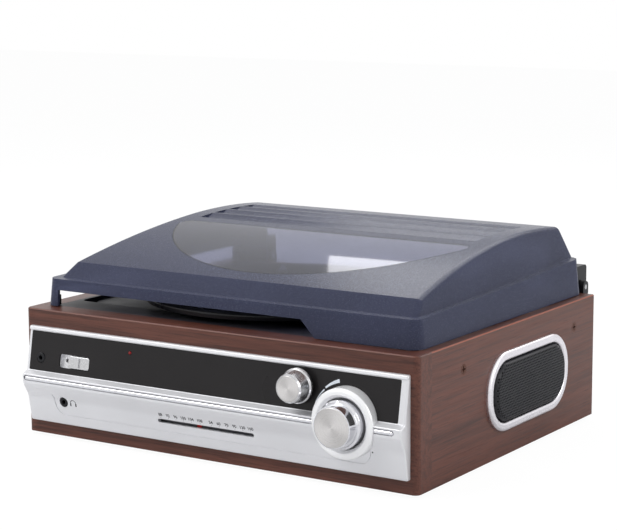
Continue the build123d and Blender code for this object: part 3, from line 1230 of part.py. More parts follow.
band_taper = degrees(atan2(BAND_LEAN, BAND_BACK_TOP))
crown_low = HALF - CROWN_SIDE_FOOT + CROWN_SIDE_LEAN * (CROWN_FOOT_HEIGHT - CROWN_SUNK)
crown_high = crown_low - CROWN_SIDE_LEAN * (CROWN_TALL - CROWN_SUNK)
lid_skin = crown_body(0) - crown_body(LID_WALL)
louvre_pad = crown_body(LID_WALL - 0.2) - crown_body(LID_WALL + LOUVRE_DEEP)


def louvre_height(depth):
    """The crown's height over the louvres, from the three points of its back arc."""
    start, middle, end = DEPTH - CREST_FROM_BACK, DEPTH - RIDGE_FROM_BACK, DEPTH - TAIL_FROM_BACK
    first = CREST_HEIGHT * (depth - middle) * (depth - end) / ((start - middle) * (start - end))
    second = RIDGE_HEIGHT * (depth - start) * (depth - end) / ((middle - start) * (middle - end))
    third = TAIL_HEIGHT * (depth - start) * (depth - middle) / ((end - start) * (end - middle))
    return TOP + first + second + third


with BuildPart() as pad_part:
    add(louvre_pad)
    with BuildSketch(Plane.XY.offset(TOP + BAND_BACK_TOP + 5)):
        with Locations((0, FRONT + LOUVRE_FIRST + LOUVRES * LOUVRE_PITCH / 2)):
            RectangleRounded(2 * LOUVRE_HALF_WIDTH + 8, LOUVRES * LOUVRE_PITCH + 6, 4)
    extrude(amount=CROWN_TALL, mode=Mode.INTERSECT)

with BuildPart() as lid_shell:
    add(band_body(0))
    add(crown_body(0))
    add(band_body(LID_WALL), mode=Mode.SUBTRACT)
    add(crown_body(LID_WALL), mode=Mode.SUBTRACT)
    add(pad_part.part)
    for louvre in range(LOUVRES):
        near = LOUVRE_FIRST + louvre * LOUVRE_PITCH
        far = near + LOUVRE_PITCH - 1.5
        with BuildSketch(Plane.YZ):
            with BuildLine():
                floor_near = (FRONT + near, louvre_height(near) - LOUVRE_DEEP)
                floor_far = (FRONT + far, louvre_height(far) + 0.2)
                floor_middle = (FRONT + (near + far) / 2,
                                louvre_height((near + far) / 2) - 0.7 * LOUVRE_DEEP)
                ThreePointArc(floor_near, floor_middle, floor_far)
                Polyline(floor_far, (FRONT + far, TOP + CROWN_TALL),
                         (FRONT + near - 0.6, TOP + CROWN_TALL), floor_near)
            make_face()
        extrude(amount=LOUVRE_HALF_WIDTH, both=True, mode=Mode.SUBTRACT)
    with BuildSketch(Plane.XY.offset(TOP)) as hole:
        window_outline(0)
        fillet(hole.vertices(), WINDOW_ROUND)
    extrude(amount=CROWN_TALL, mode=Mode.SUBTRACT)
    cut_left = -HALF + LID_SIDE + CUT_LEFT_POST
    with BuildSketch(facing_front(0)):
        with Locations(((cut_left + CUT_RIGHT_END) / 2, TOP + CUT_HEIGHT / 2)):
            Rectangle(CUT_RIGHT_END - cut_left, CUT_HEIGHT)
        with Locations((CUT_RIGHT_END - 0.01, TOP)):
            Polygon((0, 0), (CUT_HEIGHT, 0), (0, CUT_HEIGHT), align=None)
    extrude(amount=-LID_FRONT - 2 * LID_CORNER, mode=Mode.SUBTRACT)
    with BuildSketch(Plane.YZ.offset(-HALF)):
        with Locations((FRONT + (LID_FRONT + CUT_SIDE_LEG + DEPTH - CUT_BACK_LEG) / 2,
                        TOP + CUT_HEIGHT / 2)):
            Rectangle(DEPTH - LID_FRONT - CUT_SIDE_LEG - CUT_BACK_LEG, CUT_HEIGHT)
    extrude(amount=LID_SIDE + 2 * LID_CORNER, mode=Mode.SUBTRACT)
    with BuildSketch(facing_front(-DEPTH)):
        with Locations((0, TOP + BACK_CUT_HEIGHT / 2)):
            Rectangle(2 * (HALF - BACK_CUT_SIDE), BACK_CUT_HEIGHT)
    extrude(amount=LID_BACK + 2 * LID_WALL + 8, mode=Mode.SUBTRACT)
save(lid_shell, "lid_shell")

with BuildPart() as lid_window:
    with BuildSketch(Plane.XY.offset(TOP + BAND_BACK_TOP)) as pane:
        window_outline(0)
        fillet(pane.vertices(), WINDOW_ROUND)
        offset(amount=-FIT_GAP, mode=Mode.REPLACE)
    extrude(amount=CROWN_TALL - BAND_BACK_TOP)
    add(lid_skin, mode=Mode.INTERSECT)
save(lid_window, "lid_window")

with BuildPart() as lid_bumpers:
    bumper_x = HALF - LID_SIDE - LID_WALL - BUMPER_INSET
    bumper_front = FRONT + LID_FRONT + LID_WALL + BUMPER_INSET
    bumper_back = BACK - LID_BACK - LID_WALL - BUMPER_INSET
    bumper_places = [(x, y) for x in (-bumper_x, bumper_x) for y in (bumper_front, bumper_back)]
    with BuildSketch(Plane.XY.offset(TOP)):
        with Locations(*bumper_places):
            Circle(BUMPER_RADIUS)
    extrude(amount=BUMPER_HEIGHT)
    add(band_body(LID_WALL), mode=Mode.INTERSECT)
    with BuildSketch(Plane.XY.offset(TOP + LID_GAP)):
        with Locations(*bumper_places):
            Circle(BUMPER_RADIUS - 0.8)
    extrude(amount=-LID_GAP + FIT_GAP)
save(lid_bumpers, "lid_bumpers")

# Hinges: bases on the back board, pins, and arms fixed to the cover
hinge_middles = (-HINGE_X, HINGE_X)
cheek_middle = (HINGE_WIDTH - HINGE_CHEEK) / 2
with BuildPart() as hinge_bases:
    with BuildSketch(facing_front(-DEPTH)):
        with Locations(*[(x, TOP - HINGE_FOOT / 2) for x in hinge_middles]):
            RectangleRounded(HINGE_WIDTH, HINGE_FOOT, 2)
        with Locations(*hinge_screw_places):
            Circle(HINGE_SCREW_RADIUS + FIT_GAP, mode=Mode.SUBTRACT)
    extrude(amount=-HINGE_PLATE)
    for middle in hinge_middles:
        for cheek in (-cheek_middle, cheek_middle):
            with BuildSketch(Plane.YZ.offset(middle + cheek - HINGE_CHEEK / 2)):
                with BuildLine():
                    FilletPolyline(
                        (BACK + 0.5, TOP - 16), (HINGE_Y + HINGE_BARREL_RADIUS, HINGE_Z - 5),
                        (HINGE_Y + HINGE_BARREL_RADIUS, HINGE_Z + HINGE_BARREL_RADIUS),
                        (HINGE_Y - HINGE_BARREL_RADIUS, HINGE_Z + HINGE_BARREL_RADIUS),
                        (HINGE_Y - HINGE_BARREL_RADIUS, TOP - 1), (BACK + 0.5, TOP - 1),
                        radius=[0, 3, 4, 4, 0, 0], close=True)
                make_face()
                with Locations((HINGE_Y, HINGE_Z)):
                    Circle(HINGE_PIN_RADIUS, mode=Mode.SUBTRACT)
            extrude(amount=HINGE_CHEEK)
save(hinge_bases, "hinge_bases")

with BuildPart() as hinge_pins:
    for middle in hinge_middles:
        with Locations((middle, HINGE_Y, HINGE_Z)):
            Cylinder(HINGE_PIN_RADIUS, HINGE_WIDTH, rotation=(0, 90, 0))
save(hinge_pins, "hinge_pins")

arm_width = HINGE_WIDTH - 2 * HINGE_CHEEK - 2 * MOVING_GAP
with BuildPart() as hinge_arms:
    for middle in hinge_middles:
        with BuildSketch(Plane.YZ.offset(middle - arm_width / 2)):
            with BuildLine():
                FilletPolyline(
                    (BACK - 8, HINGE_Z + HINGE_BARREL_RADIUS + 1),
                    (HINGE_Y, HINGE_Z + HINGE_BARREL_RADIUS + 1), (HINGE_Y, HINGE_Z),
                    (BACK + HINGE_REACH, HINGE_Z), (BACK + HINGE_REACH, TOP + HINGE_ARM_TOP),
                    (BACK - 8, TOP + HINGE_ARM_TOP), radius=[0, 0, 0, 2, 3, 0], close=True)
            make_face()
            with Locations((HINGE_Y, HINGE_Z)):
                Circle(HINGE_BARREL_RADIUS)
                Circle(HINGE_PIN_RADIUS + RUNNING_GAP, mode=Mode.SUBTRACT)
        extrude(amount=arm_width)
    add(band_body(0), mode=Mode.SUBTRACT)
    add(crown_body(0), mode=Mode.SUBTRACT)
save(hinge_arms, "hinge_arms")

with BuildPart() as hinge_screws:
    for x, z in hinge_screw_places:
        head_plane = Plane(origin=(x, BACK + HINGE_PLATE, z), x_dir=(1, 0, 0), z_dir=(0, 1, 0))
        with BuildSketch(head_plane):
            Circle(HINGE_SCREW_HEAD)
            Rectangle(3.6, 0.8, mode=Mode.SUBTRACT)
            Rectangle(0.8, 3.6, mode=Mode.SUBTRACT)
        extrude(amount=1.2)
        with BuildSketch(head_plane):
            Circle(HINGE_SCREW_RADIUS)
        extrude(amount=0.4)
        with BuildSketch(head_plane):
            Circle(HINGE_SCREW_RADIUS)
        extrude(amount=-HINGE_SCREW_LENGTH)
save(hinge_screws, "hinge_screws")


# Loudspeakers: the right one is drawn and its mirror image is the left one
def speaker_plane(x):
    """A plane square to X at the speaker's middle, facing out to the right."""
    return Plane(origin=(x, FRONT + SPEAKER_DEPTH, SPEAKER_HEIGHT),
                 x_dir=(0, 1, 0), z_dir=(1, 0, 0))


ring_bore = (RING_LENGTH - 2 * RING_WIDTH, RING_HEIGHT - 2 * RING_WIDTH, RING_ROUND - RING_WIDTH)
with BuildPart() as speaker_rings:
    with BuildSketch(speaker_plane(HALF)):
        RectangleRounded(RING_LENGTH, RING_HEIGHT, RING_ROUND)
        RectangleRounded(*ring_bore, mode=Mode.SUBTRACT)
    extrude(amount=RING_THICK)
    fillet(speaker_rings.faces().sort_by(Axis.X)[-1].edges(), 2.2)
    mirror(about=Plane.YZ)
save(speaker_rings, "speaker_rings")

with BuildPart() as speaker_grilles:
    for gap, reach, edge, how in ((FIT_GAP, GRILLE_DOME, 4.5, Mode.ADD),
                                  (FIT_GAP + 1.2, GRILLE_DOME - 1.2, 3.3, Mode.SUBTRACT)):
        with BuildPart(mode=Mode.PRIVATE) as dome:
            with BuildSketch(speaker_plane(HALF - RING_THICK)):
                RectangleRounded(ring_bore[0] - 2 * gap, ring_bore[1] - 2 * gap, ring_bore[2] - gap)
            extrude(amount=reach + RING_THICK)
            fillet(dome.faces().sort_by(Axis.X)[-1].edges(), edge)
        add(dome.part, mode=how)
    mirror(about=Plane.YZ)
save(speaker_grilles, "speaker_grilles")

with BuildPart() as speaker_drivers:
    with BuildSketch(speaker_plane(INSIDE_HALF)):
        RectangleRounded(DRIVER_LENGTH + 12, DRIVER_HEIGHT, DRIVER_HEIGHT / 2 - 2)
    extrude(amount=-DRIVER_FRAME)
    with BuildSketch(speaker_plane(INSIDE_HALF - DRIVER_FRAME)):
        RectangleRounded(DRIVER_LENGTH - 6, DRIVER_HEIGHT - 6, DRIVER_HEIGHT / 2 - 5)
    extrude(amount=-BASKET_DEEP, taper=BASKET_TAPER)
    with BuildSketch(speaker_plane(INSIDE_HALF)):
        RectangleRounded(DRIVER_LENGTH - 8, DRIVER_HEIGHT - 8, DRIVER_HEIGHT / 2 - 6)
    extrude(amount=-BASKET_DEEP, taper=BASKET_TAPER, mode=Mode.SUBTRACT)
    with BuildSketch(speaker_plane(INSIDE_HALF - DRIVER_FRAME - BASKET_DEEP)):
        Circle(MAGNET_RADIUS)
    extrude(amount=-MAGNET_THICK)
    mirror(about=Plane.YZ)
save(speaker_drivers, "speaker_drivers")

with BuildPart() as speaker_cones:
    with BuildSketch(speaker_plane(INSIDE_HALF)):
        RectangleRounded(DRIVER_LENGTH - 10, DRIVER_HEIGHT - 10, DRIVER_HEIGHT / 2 - 7)
    extrude(amount=-1)
    for shift, how in ((-1, Mode.ADD), (0, Mode.SUBTRACT)):
        with BuildSketch(speaker_plane(INSIDE_HALF + shift)):
            RectangleRounded(DRIVER_LENGTH - 16, DRIVER_HEIGHT - 16, DRIVER_HEIGHT / 2 - 10)
        extrude(amount=-CONE_DEEP, taper=BASKET_TAPER + 12, mode=how)
    mirror(about=Plane.YZ)
save(speaker_cones, "speaker_cones")

# Back sockets, and the power supply and main board on the base
line_out_places = [(SOCKET_FROM_MIDDLE + along, SOCKET_HEIGHT) for along in LINE_OUT_FROM_PLATE]
aerial_place = (SOCKET_FROM_MIDDLE + AERIAL_FROM_PLATE, SOCKET_HEIGHT)
cord_place = (SOCKET_FROM_MIDDLE + CORD_FROM_PLATE, SOCKET_HEIGHT)
with BuildPart() as rear_socket_plate:
    with BuildSketch(facing_front(-DEPTH)):
        with Locations((SOCKET_FROM_MIDDLE, SOCKET_HEIGHT)):
            RectangleRounded(SOCKET_PLATE[0], SOCKET_PLATE[1], 3)
        with Locations(*line_out_places):
            Circle(SOCKET_RADIUS + FIT_GAP, mode=Mode.SUBTRACT)
        with Locations(aerial_place, cord_place):
            Circle(GLAND_RADIUS - 1.5, mode=Mode.SUBTRACT)
    extrude(amount=-SOCKET_PLATE[2])
save(rear_socket_plate, "rear_socket_plate")

with BuildPart() as line_out_sockets:
    with BuildSketch(facing_front(-DEPTH)):
        with Locations(*line_out_places):
            Circle(SOCKET_RADIUS + 1.5)
            Circle(SOCKET_BORE, mode=Mode.SUBTRACT)
    extrude(amount=3)
    neck_reach = SOCKET_PLATE[2] + SOCKET_NECK_LIFT
    with BuildSketch(facing_front(-DEPTH)):
        with Locations(*line_out_places):
            Circle(SOCKET_NECK_RADIUS)
            Circle(SOCKET_BORE, mode=Mode.SUBTRACT)
    extrude(amount=-neck_reach)
    with BuildSketch(facing_front(-DEPTH - neck_reach)):
        with Locations(*line_out_places):
            Circle(SOCKET_RADIUS)
            Circle(SOCKET_BORE, mode=Mode.SUBTRACT)
    extrude(amount=SOCKET_NECK_LIFT - SOCKET_LENGTH)
save(line_out_sockets, "line_out_sockets")

with BuildPart() as cord_glands:
    with BuildSketch(facing_front(-DEPTH)):
        with Locations(aerial_place, cord_place):
            Circle(GLAND_RADIUS - 1.5)
            Circle(GLAND_BORE, mode=Mode.SUBTRACT)
    extrude(amount=-SOCKET_PLATE[2])
    with BuildSketch(facing_front(-DEPTH - SOCKET_PLATE[2])):
        with Locations(aerial_place, cord_place):
            Circle(GLAND_RADIUS)
            Circle(GLAND_BORE, mode=Mode.SUBTRACT)
    extrude(amount=-4, taper=8)
save(cord_glands, "cord_glands")

board_y = INSIDE_MIDDLE - 30
with BuildPart() as main_board:
    with BuildSketch(Plane.XY.offset(FLOOR + MAIN_BOARD_LIFT)):
        with Locations((MAIN_BOARD_X, board_y)):
            Rectangle(*MAIN_BOARD)
    extrude(amount=BOARD_THICK)
    with BuildSketch(Plane.XY.offset(FLOOR)):
        with Locations((MAIN_BOARD_X, board_y)):
            with GridLocations(MAIN_BOARD[0] - 10, MAIN_BOARD[1] - 10, 2, 2):
                Circle(3)
    extrude(amount=MAIN_BOARD_LIFT)
    with BuildSketch(Plane.XY.offset(FLOOR + MAIN_BOARD_LIFT + BOARD_THICK)):
        with Locations((MAIN_BOARD_X - 30, board_y + 15), (MAIN_BOARD_X - 10, board_y + 15)):
            Circle(6.3)
    extrude(amount=20)
    with BuildSketch(Plane.XY.offset(FLOOR + MAIN_BOARD_LIFT + BOARD_THICK)):
        with Locations((MAIN_BOARD_X + 30, board_y + 20)):
            Rectangle(34, 5)
            with GridLocations(5, 0, 7, 1):
                Rectangle(1.5, 14)
        with Locations((MAIN_BOARD_X + 5, board_y - 20)):
            Rectangle(10, 26)
    extrude(amount=14)
save(main_board, "main_board")

with BuildPart() as transformer:
    transformer_y = INSIDE_BACK - TRANSFORMER[1] / 2 - 25
    with BuildSketch(Plane.XY.offset(FLOOR)):
        with Locations((TRANSFORMER_X, transformer_y)):
            Rectangle(TRANSFORMER[0] + 16, TRANSFORMER[1] / 2)
    extrude(amount=1.5)
    with BuildSketch(Plane.XY.offset(FLOOR)):
        with Locations((TRANSFORMER_X, transformer_y)):
            RectangleRounded(TRANSFORMER[0], 0.6 * TRANSFORMER[1], 1)
    extrude(amount=TRANSFORMER[2])
    with BuildSketch(Plane.XY.offset(FLOOR + 5)):
        with Locations((TRANSFORMER_X, transformer_y)):
            RectangleRounded(0.55 * TRANSFORMER[0], TRANSFORMER[1], 5)
    extrude(amount=TRANSFORMER[2] - 10)
save(transformer, "transformer")
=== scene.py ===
import math

import bmesh
import bpy
from mathutils import Matrix, Vector
from mathutils.bvhtree import BVHTree


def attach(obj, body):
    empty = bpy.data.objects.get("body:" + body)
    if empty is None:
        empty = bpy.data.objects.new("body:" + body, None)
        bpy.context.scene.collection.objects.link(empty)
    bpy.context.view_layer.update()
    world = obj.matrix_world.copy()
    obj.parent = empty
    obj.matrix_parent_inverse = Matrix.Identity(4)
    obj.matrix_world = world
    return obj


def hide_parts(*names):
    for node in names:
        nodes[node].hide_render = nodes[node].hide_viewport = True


# A record player with a radio dial: materials, prints, perforated grilles, camera and light.
# Metres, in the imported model's own frame.
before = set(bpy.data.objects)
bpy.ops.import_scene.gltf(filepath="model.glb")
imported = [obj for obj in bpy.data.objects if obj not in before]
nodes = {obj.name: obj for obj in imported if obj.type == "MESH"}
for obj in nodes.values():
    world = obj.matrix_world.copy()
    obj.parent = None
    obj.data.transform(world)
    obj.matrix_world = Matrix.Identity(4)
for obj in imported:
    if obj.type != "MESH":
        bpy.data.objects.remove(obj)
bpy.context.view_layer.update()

MM = 0.001
FRONT = -0.13385
HALF = 0.175
VOLUME = Vector((0.1221, FRONT, 0.0498))
TUNING = Vector((0.0824, FRONT, 0.0713))
WINDOW_FRONT_DEPTH = 51.4 * MM
WINDOW_BACK_DEPTH = 154.0 * MM
WINDOW_RADIUS = 142.5 * MM
EDGE_LINE_START = 1.3 * MM
EDGE_LINE_FULL = 0.6 * MM


def srgb(red, green, blue):
    """A colour written as 0 to 255 values, as the linear colour that a shader takes."""
    parts = [channel / 255 for channel in (red, green, blue)]
    linear = [c / 12.92 if c <= 0.04045 else ((c + 0.055) / 1.055) ** 2.4 for c in parts]
    return (*linear, 1.0)


class Shader:
    """A material with its node tree, and short ways to add the nodes that it needs."""

    def __init__(self, name, **sockets):
        self.material = bpy.data.materials.new(name)
        self.material.use_nodes = True
        self.tree = self.material.node_tree
        self.bsdf = self.tree.nodes["Principled BSDF"]
        self.set(self.bsdf, sockets)

    def set(self, node, sockets):
        for socket, value in sockets.items():
            name = socket.replace("_", " ")
            if name not in node.inputs:
                name = name.title() if name.title() in node.inputs else name
            if isinstance(value, bpy.types.NodeSocket):
                self.tree.links.new(value, node.inputs[name])
            else:
                node.inputs[name].default_value = value

    def add(self, kind, settings=None, **sockets):
        node = self.tree.nodes.new(kind)
        for key, value in (settings or {}).items():
            setattr(node, key, value)
        self.set(node, sockets)
        return node

    def place(self, scale=(1, 1, 1), shift=(0, 0, 0)):
        """The object's own coordinates, stretched."""
        coords = self.add("ShaderNodeTexCoord").outputs["Object"]
        mapping = self.add("ShaderNodeMapping", Vector=coords)
        mapping.inputs["Scale"].default_value = scale
        mapping.inputs["Location"].default_value = shift
        return mapping.outputs["Vector"]

    def noise(self, scale, stretch=(1, 1, 1), detail=4, rough=0.55, distortion=0.0):
        return self.add("ShaderNodeTexNoise", Vector=self.place(stretch), Scale=scale,
                        Detail=detail, Roughness=rough, Distortion=distortion).outputs["Fac"]

    def ramp(self, value, *stops):
        """A colour ramp through (position, colour) stops."""
        ramp = self.add("ShaderNodeValToRGB", Fac=value)
        band = ramp.color_ramp
        while len(band.elements) < len(stops):
            band.elements.new(0.5)
        for element, (position, colour) in zip(band.elements, stops):
            element.position = position
            element.color = colour
        return ramp.outputs["Color"]

    def feed(self, node, values):
        """Links or sets inputs by their index. values: (index, value) pairs."""
        for index, value in values:
            if isinstance(value, bpy.types.NodeSocket):
                self.tree.links.new(value, node.inputs[index])
            else:
                node.inputs[index].default_value = value

    def math(self, kind, first, second=0.0):
        node = self.add("ShaderNodeMath", {"operation": kind})
        self.feed(node, enumerate((first, second)))
        return node.outputs[0]

    def vector(self, kind, first, second):
        """Vector maths; the result that the node gives is picked by its output's name."""
        node = self.add("ShaderNodeVectorMath", {"operation": kind})
        self.feed(node, enumerate((first, second)))
        return node.outputs

    def range(self, value, low, high, out_low, out_high):
        node = self.add("ShaderNodeMapRange")
        self.feed(node, enumerate((value, low, high, out_low, out_high)))
        return node.outputs[0]

    def mix(self, factor, first, second, blend="MIX"):
        node = self.add("ShaderNodeMix", {"data_type": "RGBA", "blend_type": blend})
        self.feed(node, ((0, factor), (6, first), (7, second)))
        return node.outputs[2]

    def bump(self, height, strength, distance):
        bump = self.add("ShaderNodeBump", Height=height, Strength=strength, Distance=distance)
        self.tree.links.new(bump.outputs["Normal"], self.bsdf.inputs["Normal"])

    def colour(self, value):
        self.set(self.bsdf, {"Base Color": value})

    def rough(self, value):
        self.set(self.bsdf, {"Roughness": value})


def wood(name, along):
    """Wood-grain film in reddish brown, its grain along X or along Y."""
    shader = Shader(name, Coat_Weight=0.1, Coat_Roughness=0.25, Specular_IOR_Level=0.3)
    long = (6, 150, 150) if along == "X" else (150, 6, 150)
    fine = (20, 700, 700) if along == "X" else (700, 20, 700)
    pore = (40, 1500, 1500) if along == "X" else (1500, 40, 1500)
    figure = shader.noise(1.0, long, 6, 0.6, 0.4)
    streak = shader.noise(1.0, fine, 5, 0.65)
    pores = shader.noise(1.0, pore, 2, 0.5)
    base = shader.ramp(figure, (0.28, srgb(72, 40, 32)), (0.46, srgb(92, 53, 42)),
                       (0.58, srgb(102, 60, 48)), (0.78, srgb(82, 46, 37)))
    tone = shader.ramp(streak, (0.3, srgb(150, 140, 136)), (0.55, srgb(255, 255, 255)),
                       (0.8, srgb(205, 190, 186)))
    base = shader.mix(0.75, base, tone, "MULTIPLY")
    dark = shader.range(pores, 0.60, 0.72, 0.0, 0.65)
    base = shader.mix(dark, base, srgb(44, 24, 20))
    # Painted highlight: bevels that face up and forward on the front board, or up and out along +X
    # on the sides, are lightened to a reddish or orange brown, standing in for their lit edges.
    facing = (0.7071, 0.0, 0.7071) if along == "Y" else (0, -0.7071, 0.7071)
    normal = shader.add("ShaderNodeNewGeometry").outputs["Normal"]
    bevel = shader.vector("DOT_PRODUCT", normal, facing)["Value"]
    edge_highlight = shader.range(bevel, 0.93, 0.98, 0.0, 0.8)
    base = shader.mix(edge_highlight, base, srgb(150, 72, 42) if along == "Y" else srgb(112, 70, 60))
    shader.colour(base)
    shader.rough(shader.range(streak, 0.3, 0.7, 0.36, 0.5))
    shader.bump(shader.math("ADD", streak, shader.math("MULTIPLY", pores, 0.6)), 0.22, 0.00015)
    return shader.material


def board(name):
    """Bare pressed board: pale brown with fine fibres."""
    shader = Shader(name, Roughness=0.8)
    fibre = shader.noise(900, (1, 1, 1), 5, 0.7)
    blotch = shader.noise(30, (1, 1, 1), 3)
    base = shader.ramp(fibre, (0.3, srgb(96, 68, 44)), (0.7, srgb(164, 128, 88)))
    shader.colour(shader.mix(shader.range(blotch, 0.3, 0.7, 0.0, 0.35), base, srgb(120, 90, 62)))
    shader.bump(fibre, 0.3, 0.0002)
    return shader.material


def moulding(name, colour, rough=0.45, grain=2600, depth=0.25, coat=0.0, metal=0.0, vary=0.12):
    """Plastic, paint or rubber: a fine moulded grain and slight unevenness of colour."""
    shader = Shader(name, Metallic=metal, Coat_Weight=coat, Coat_Roughness=0.1,
                    Specular_IOR_Level=0.2)
    fine = shader.noise(grain, (1, 1, 1), 3, 0.6)
    broad = shader.noise(22, (1, 1, 1), 3, 0.5)
    darker = tuple(c * (1 - vary) for c in colour[:3]) + (1.0,)
    lighter = tuple(min(1.0, c * (1 + vary)) for c in colour[:3]) + (1.0,)
    tone = shader.ramp(shader.math("ADD", shader.math("MULTIPLY", fine, 0.5),
                                   shader.math("MULTIPLY", broad, 0.5)),
                       (0.35, darker), (0.65, lighter))
    shader.colour(tone)
    shader.rough(shader.range(broad, 0.3, 0.7, rough * 0.88, min(1.0, rough * 1.12)))
    shader.bump(fine, depth, 0.00008)
    return shader.material


def metal(name, colour, rough=0.12, lines=None, depth=0.05):
    """Plated or bare metal with faint polishing marks."""
    shader = Shader(name, Metallic=1.0)
    marks = shader.noise(1.0, lines or (900, 900, 900), 3, 0.6)
    darker = tuple(c * 0.93 for c in colour[:3]) + (1.0,)
    shader.colour(shader.ramp(marks, (0.35, darker), (0.65, colour)))
    shader.rough(shader.range(marks, 0.3, 0.7, rough * 0.8, rough * 1.25))
    shader.bump(marks, depth, 0.00004)
    return shader.material


def spun(name, centre, colour, rough=0.28, turns=2600):
    """Aluminium faced on a lathe: fine rings about the knob's axis, a stretched gloss, and painted
    shade in two lobes by angle.
    """
    shader = Shader(name, Metallic=1.0, Anisotropic=0.75)
    coords = shader.add("ShaderNodeTexCoord").outputs["Object"]
    arm = shader.vector("SUBTRACT", coords, centre)[0]
    flat = shader.vector("MULTIPLY", arm, (1, 0, 1))[0]
    radius = shader.vector("LENGTH", flat, (0, 0, 0))["Value"]
    around = shader.vector("CROSS_PRODUCT", flat, (0, 1, 0))[0]
    shader.tree.links.new(around, shader.bsdf.inputs["Tangent"])
    rings = shader.add("ShaderNodeTexNoise", {"noise_dimensions": "1D"},
                       W=shader.math("MULTIPLY", radius, turns),
                       Scale=1.0, Detail=3.0).outputs["Fac"]
    darker = tuple(c * 0.86 for c in colour[:3]) + (1.0,)
    parts = shader.add("ShaderNodeSeparateXYZ", Vector=flat)
    angle = shader.math("ARCTAN2", parts.outputs["Z"], parts.outputs["X"])
    # Painted shade: two lobes by angle about the knob's axis darken the face towards grey, standing
    # in for the light and dark sectors of a spun face.
    painted_lobes = shader.math("COSINE", shader.math("MULTIPLY", shader.math("ADD", angle, 0.9), 2.0))
    tone = shader.ramp(rings, (0.3, darker), (0.7, colour))
    shader.colour(shader.mix(shader.range(painted_lobes, -1.0, 1.0, 0.0, 0.3), tone,
                             srgb(120, 118, 118)))
    shader.rough(shader.range(rings, 0.3, 0.7, rough * 0.85, rough * 1.15))
    shader.bump(rings, 0.12, 0.00005)
    return shader.material


def smoked(name, colour, through, rough, glint_speckle, gloss):
    """Smoked see-through plastic, frosted with a fine bump, with fine bright flecks painted in as
    glints where the speckle amount is over 0.

    Gives the shader and its base colour's socket, so that more can be laid over the colour.
    """
    shader = Shader(name, Transmission_Weight=through, IOR=1.3, Specular_IOR_Level=gloss)
    fleck = shader.noise(2400, (1, 1, 1), 2, 0.5)
    cloud = shader.noise(14, (1, 1, 1), 3, 0.5)
    darker = tuple(c * 0.86 for c in colour[:3]) + (1.0,)
    base = shader.mix(shader.range(cloud, 0.3, 0.7, 0.0, 1.0), darker, colour)
    # Painted highlight: fine bright flecks, scaled by the speckle amount, lighten the colour as
    # glints of gloss.
    glint_colour = tuple(min(1.0, c * 1.9) for c in colour[:3]) + (1.0,)
    base = shader.mix(shader.range(fleck, 0.55, 0.75, 0.0, glint_speckle), base, glint_colour)
    shader.colour(base)
    shader.rough(shader.range(fleck, 0.35, 0.65, rough * 0.85, rough * 1.15))
    shader.bump(fleck, 0.25 * glint_speckle, 0.00008)
    return shader, base


def window_pane():
    """The clear pane, with a dark line near its edge: a circle in front, straight behind."""
    shader, base = smoked("window", srgb(114, 117, 144), 0.93, 0.04, 0.0, 0.06)
    coords = shader.add("ShaderNodeTexCoord").outputs["Object"]
    middle = (0.0, FRONT + WINDOW_FRONT_DEPTH + WINDOW_RADIUS, 0.0)
    parts = shader.add("ShaderNodeSeparateXYZ", Vector=shader.vector("SUBTRACT", coords, middle)[0])
    across, along = parts.outputs["X"], parts.outputs["Y"]
    square = shader.math("ADD", shader.math("MULTIPLY", across, across),
                         shader.math("MULTIPLY", along, along))
    reach = shader.math("SQRT", square)
    back = WINDOW_BACK_DEPTH - WINDOW_FRONT_DEPTH - WINDOW_RADIUS
    near = [shader.range(distance, limit - EDGE_LINE_START, limit - EDGE_LINE_FULL, 0.0, 1.0)
            for distance, limit in ((reach, WINDOW_RADIUS), (along, back))]
    shader.colour(shader.mix(shader.math("MAXIMUM", *near), base, srgb(18, 19, 26)))
    return shader.material


def power_lamp():
    """The power lamp's small red lens."""
    shader = Shader("led", Roughness=0.2, Specular_IOR_Level=0.3)
    shader.colour(shader.ramp(shader.noise(900), (0.3, srgb(120, 10, 12)),
                              (0.7, srgb(158, 24, 22))))
    return shader.material


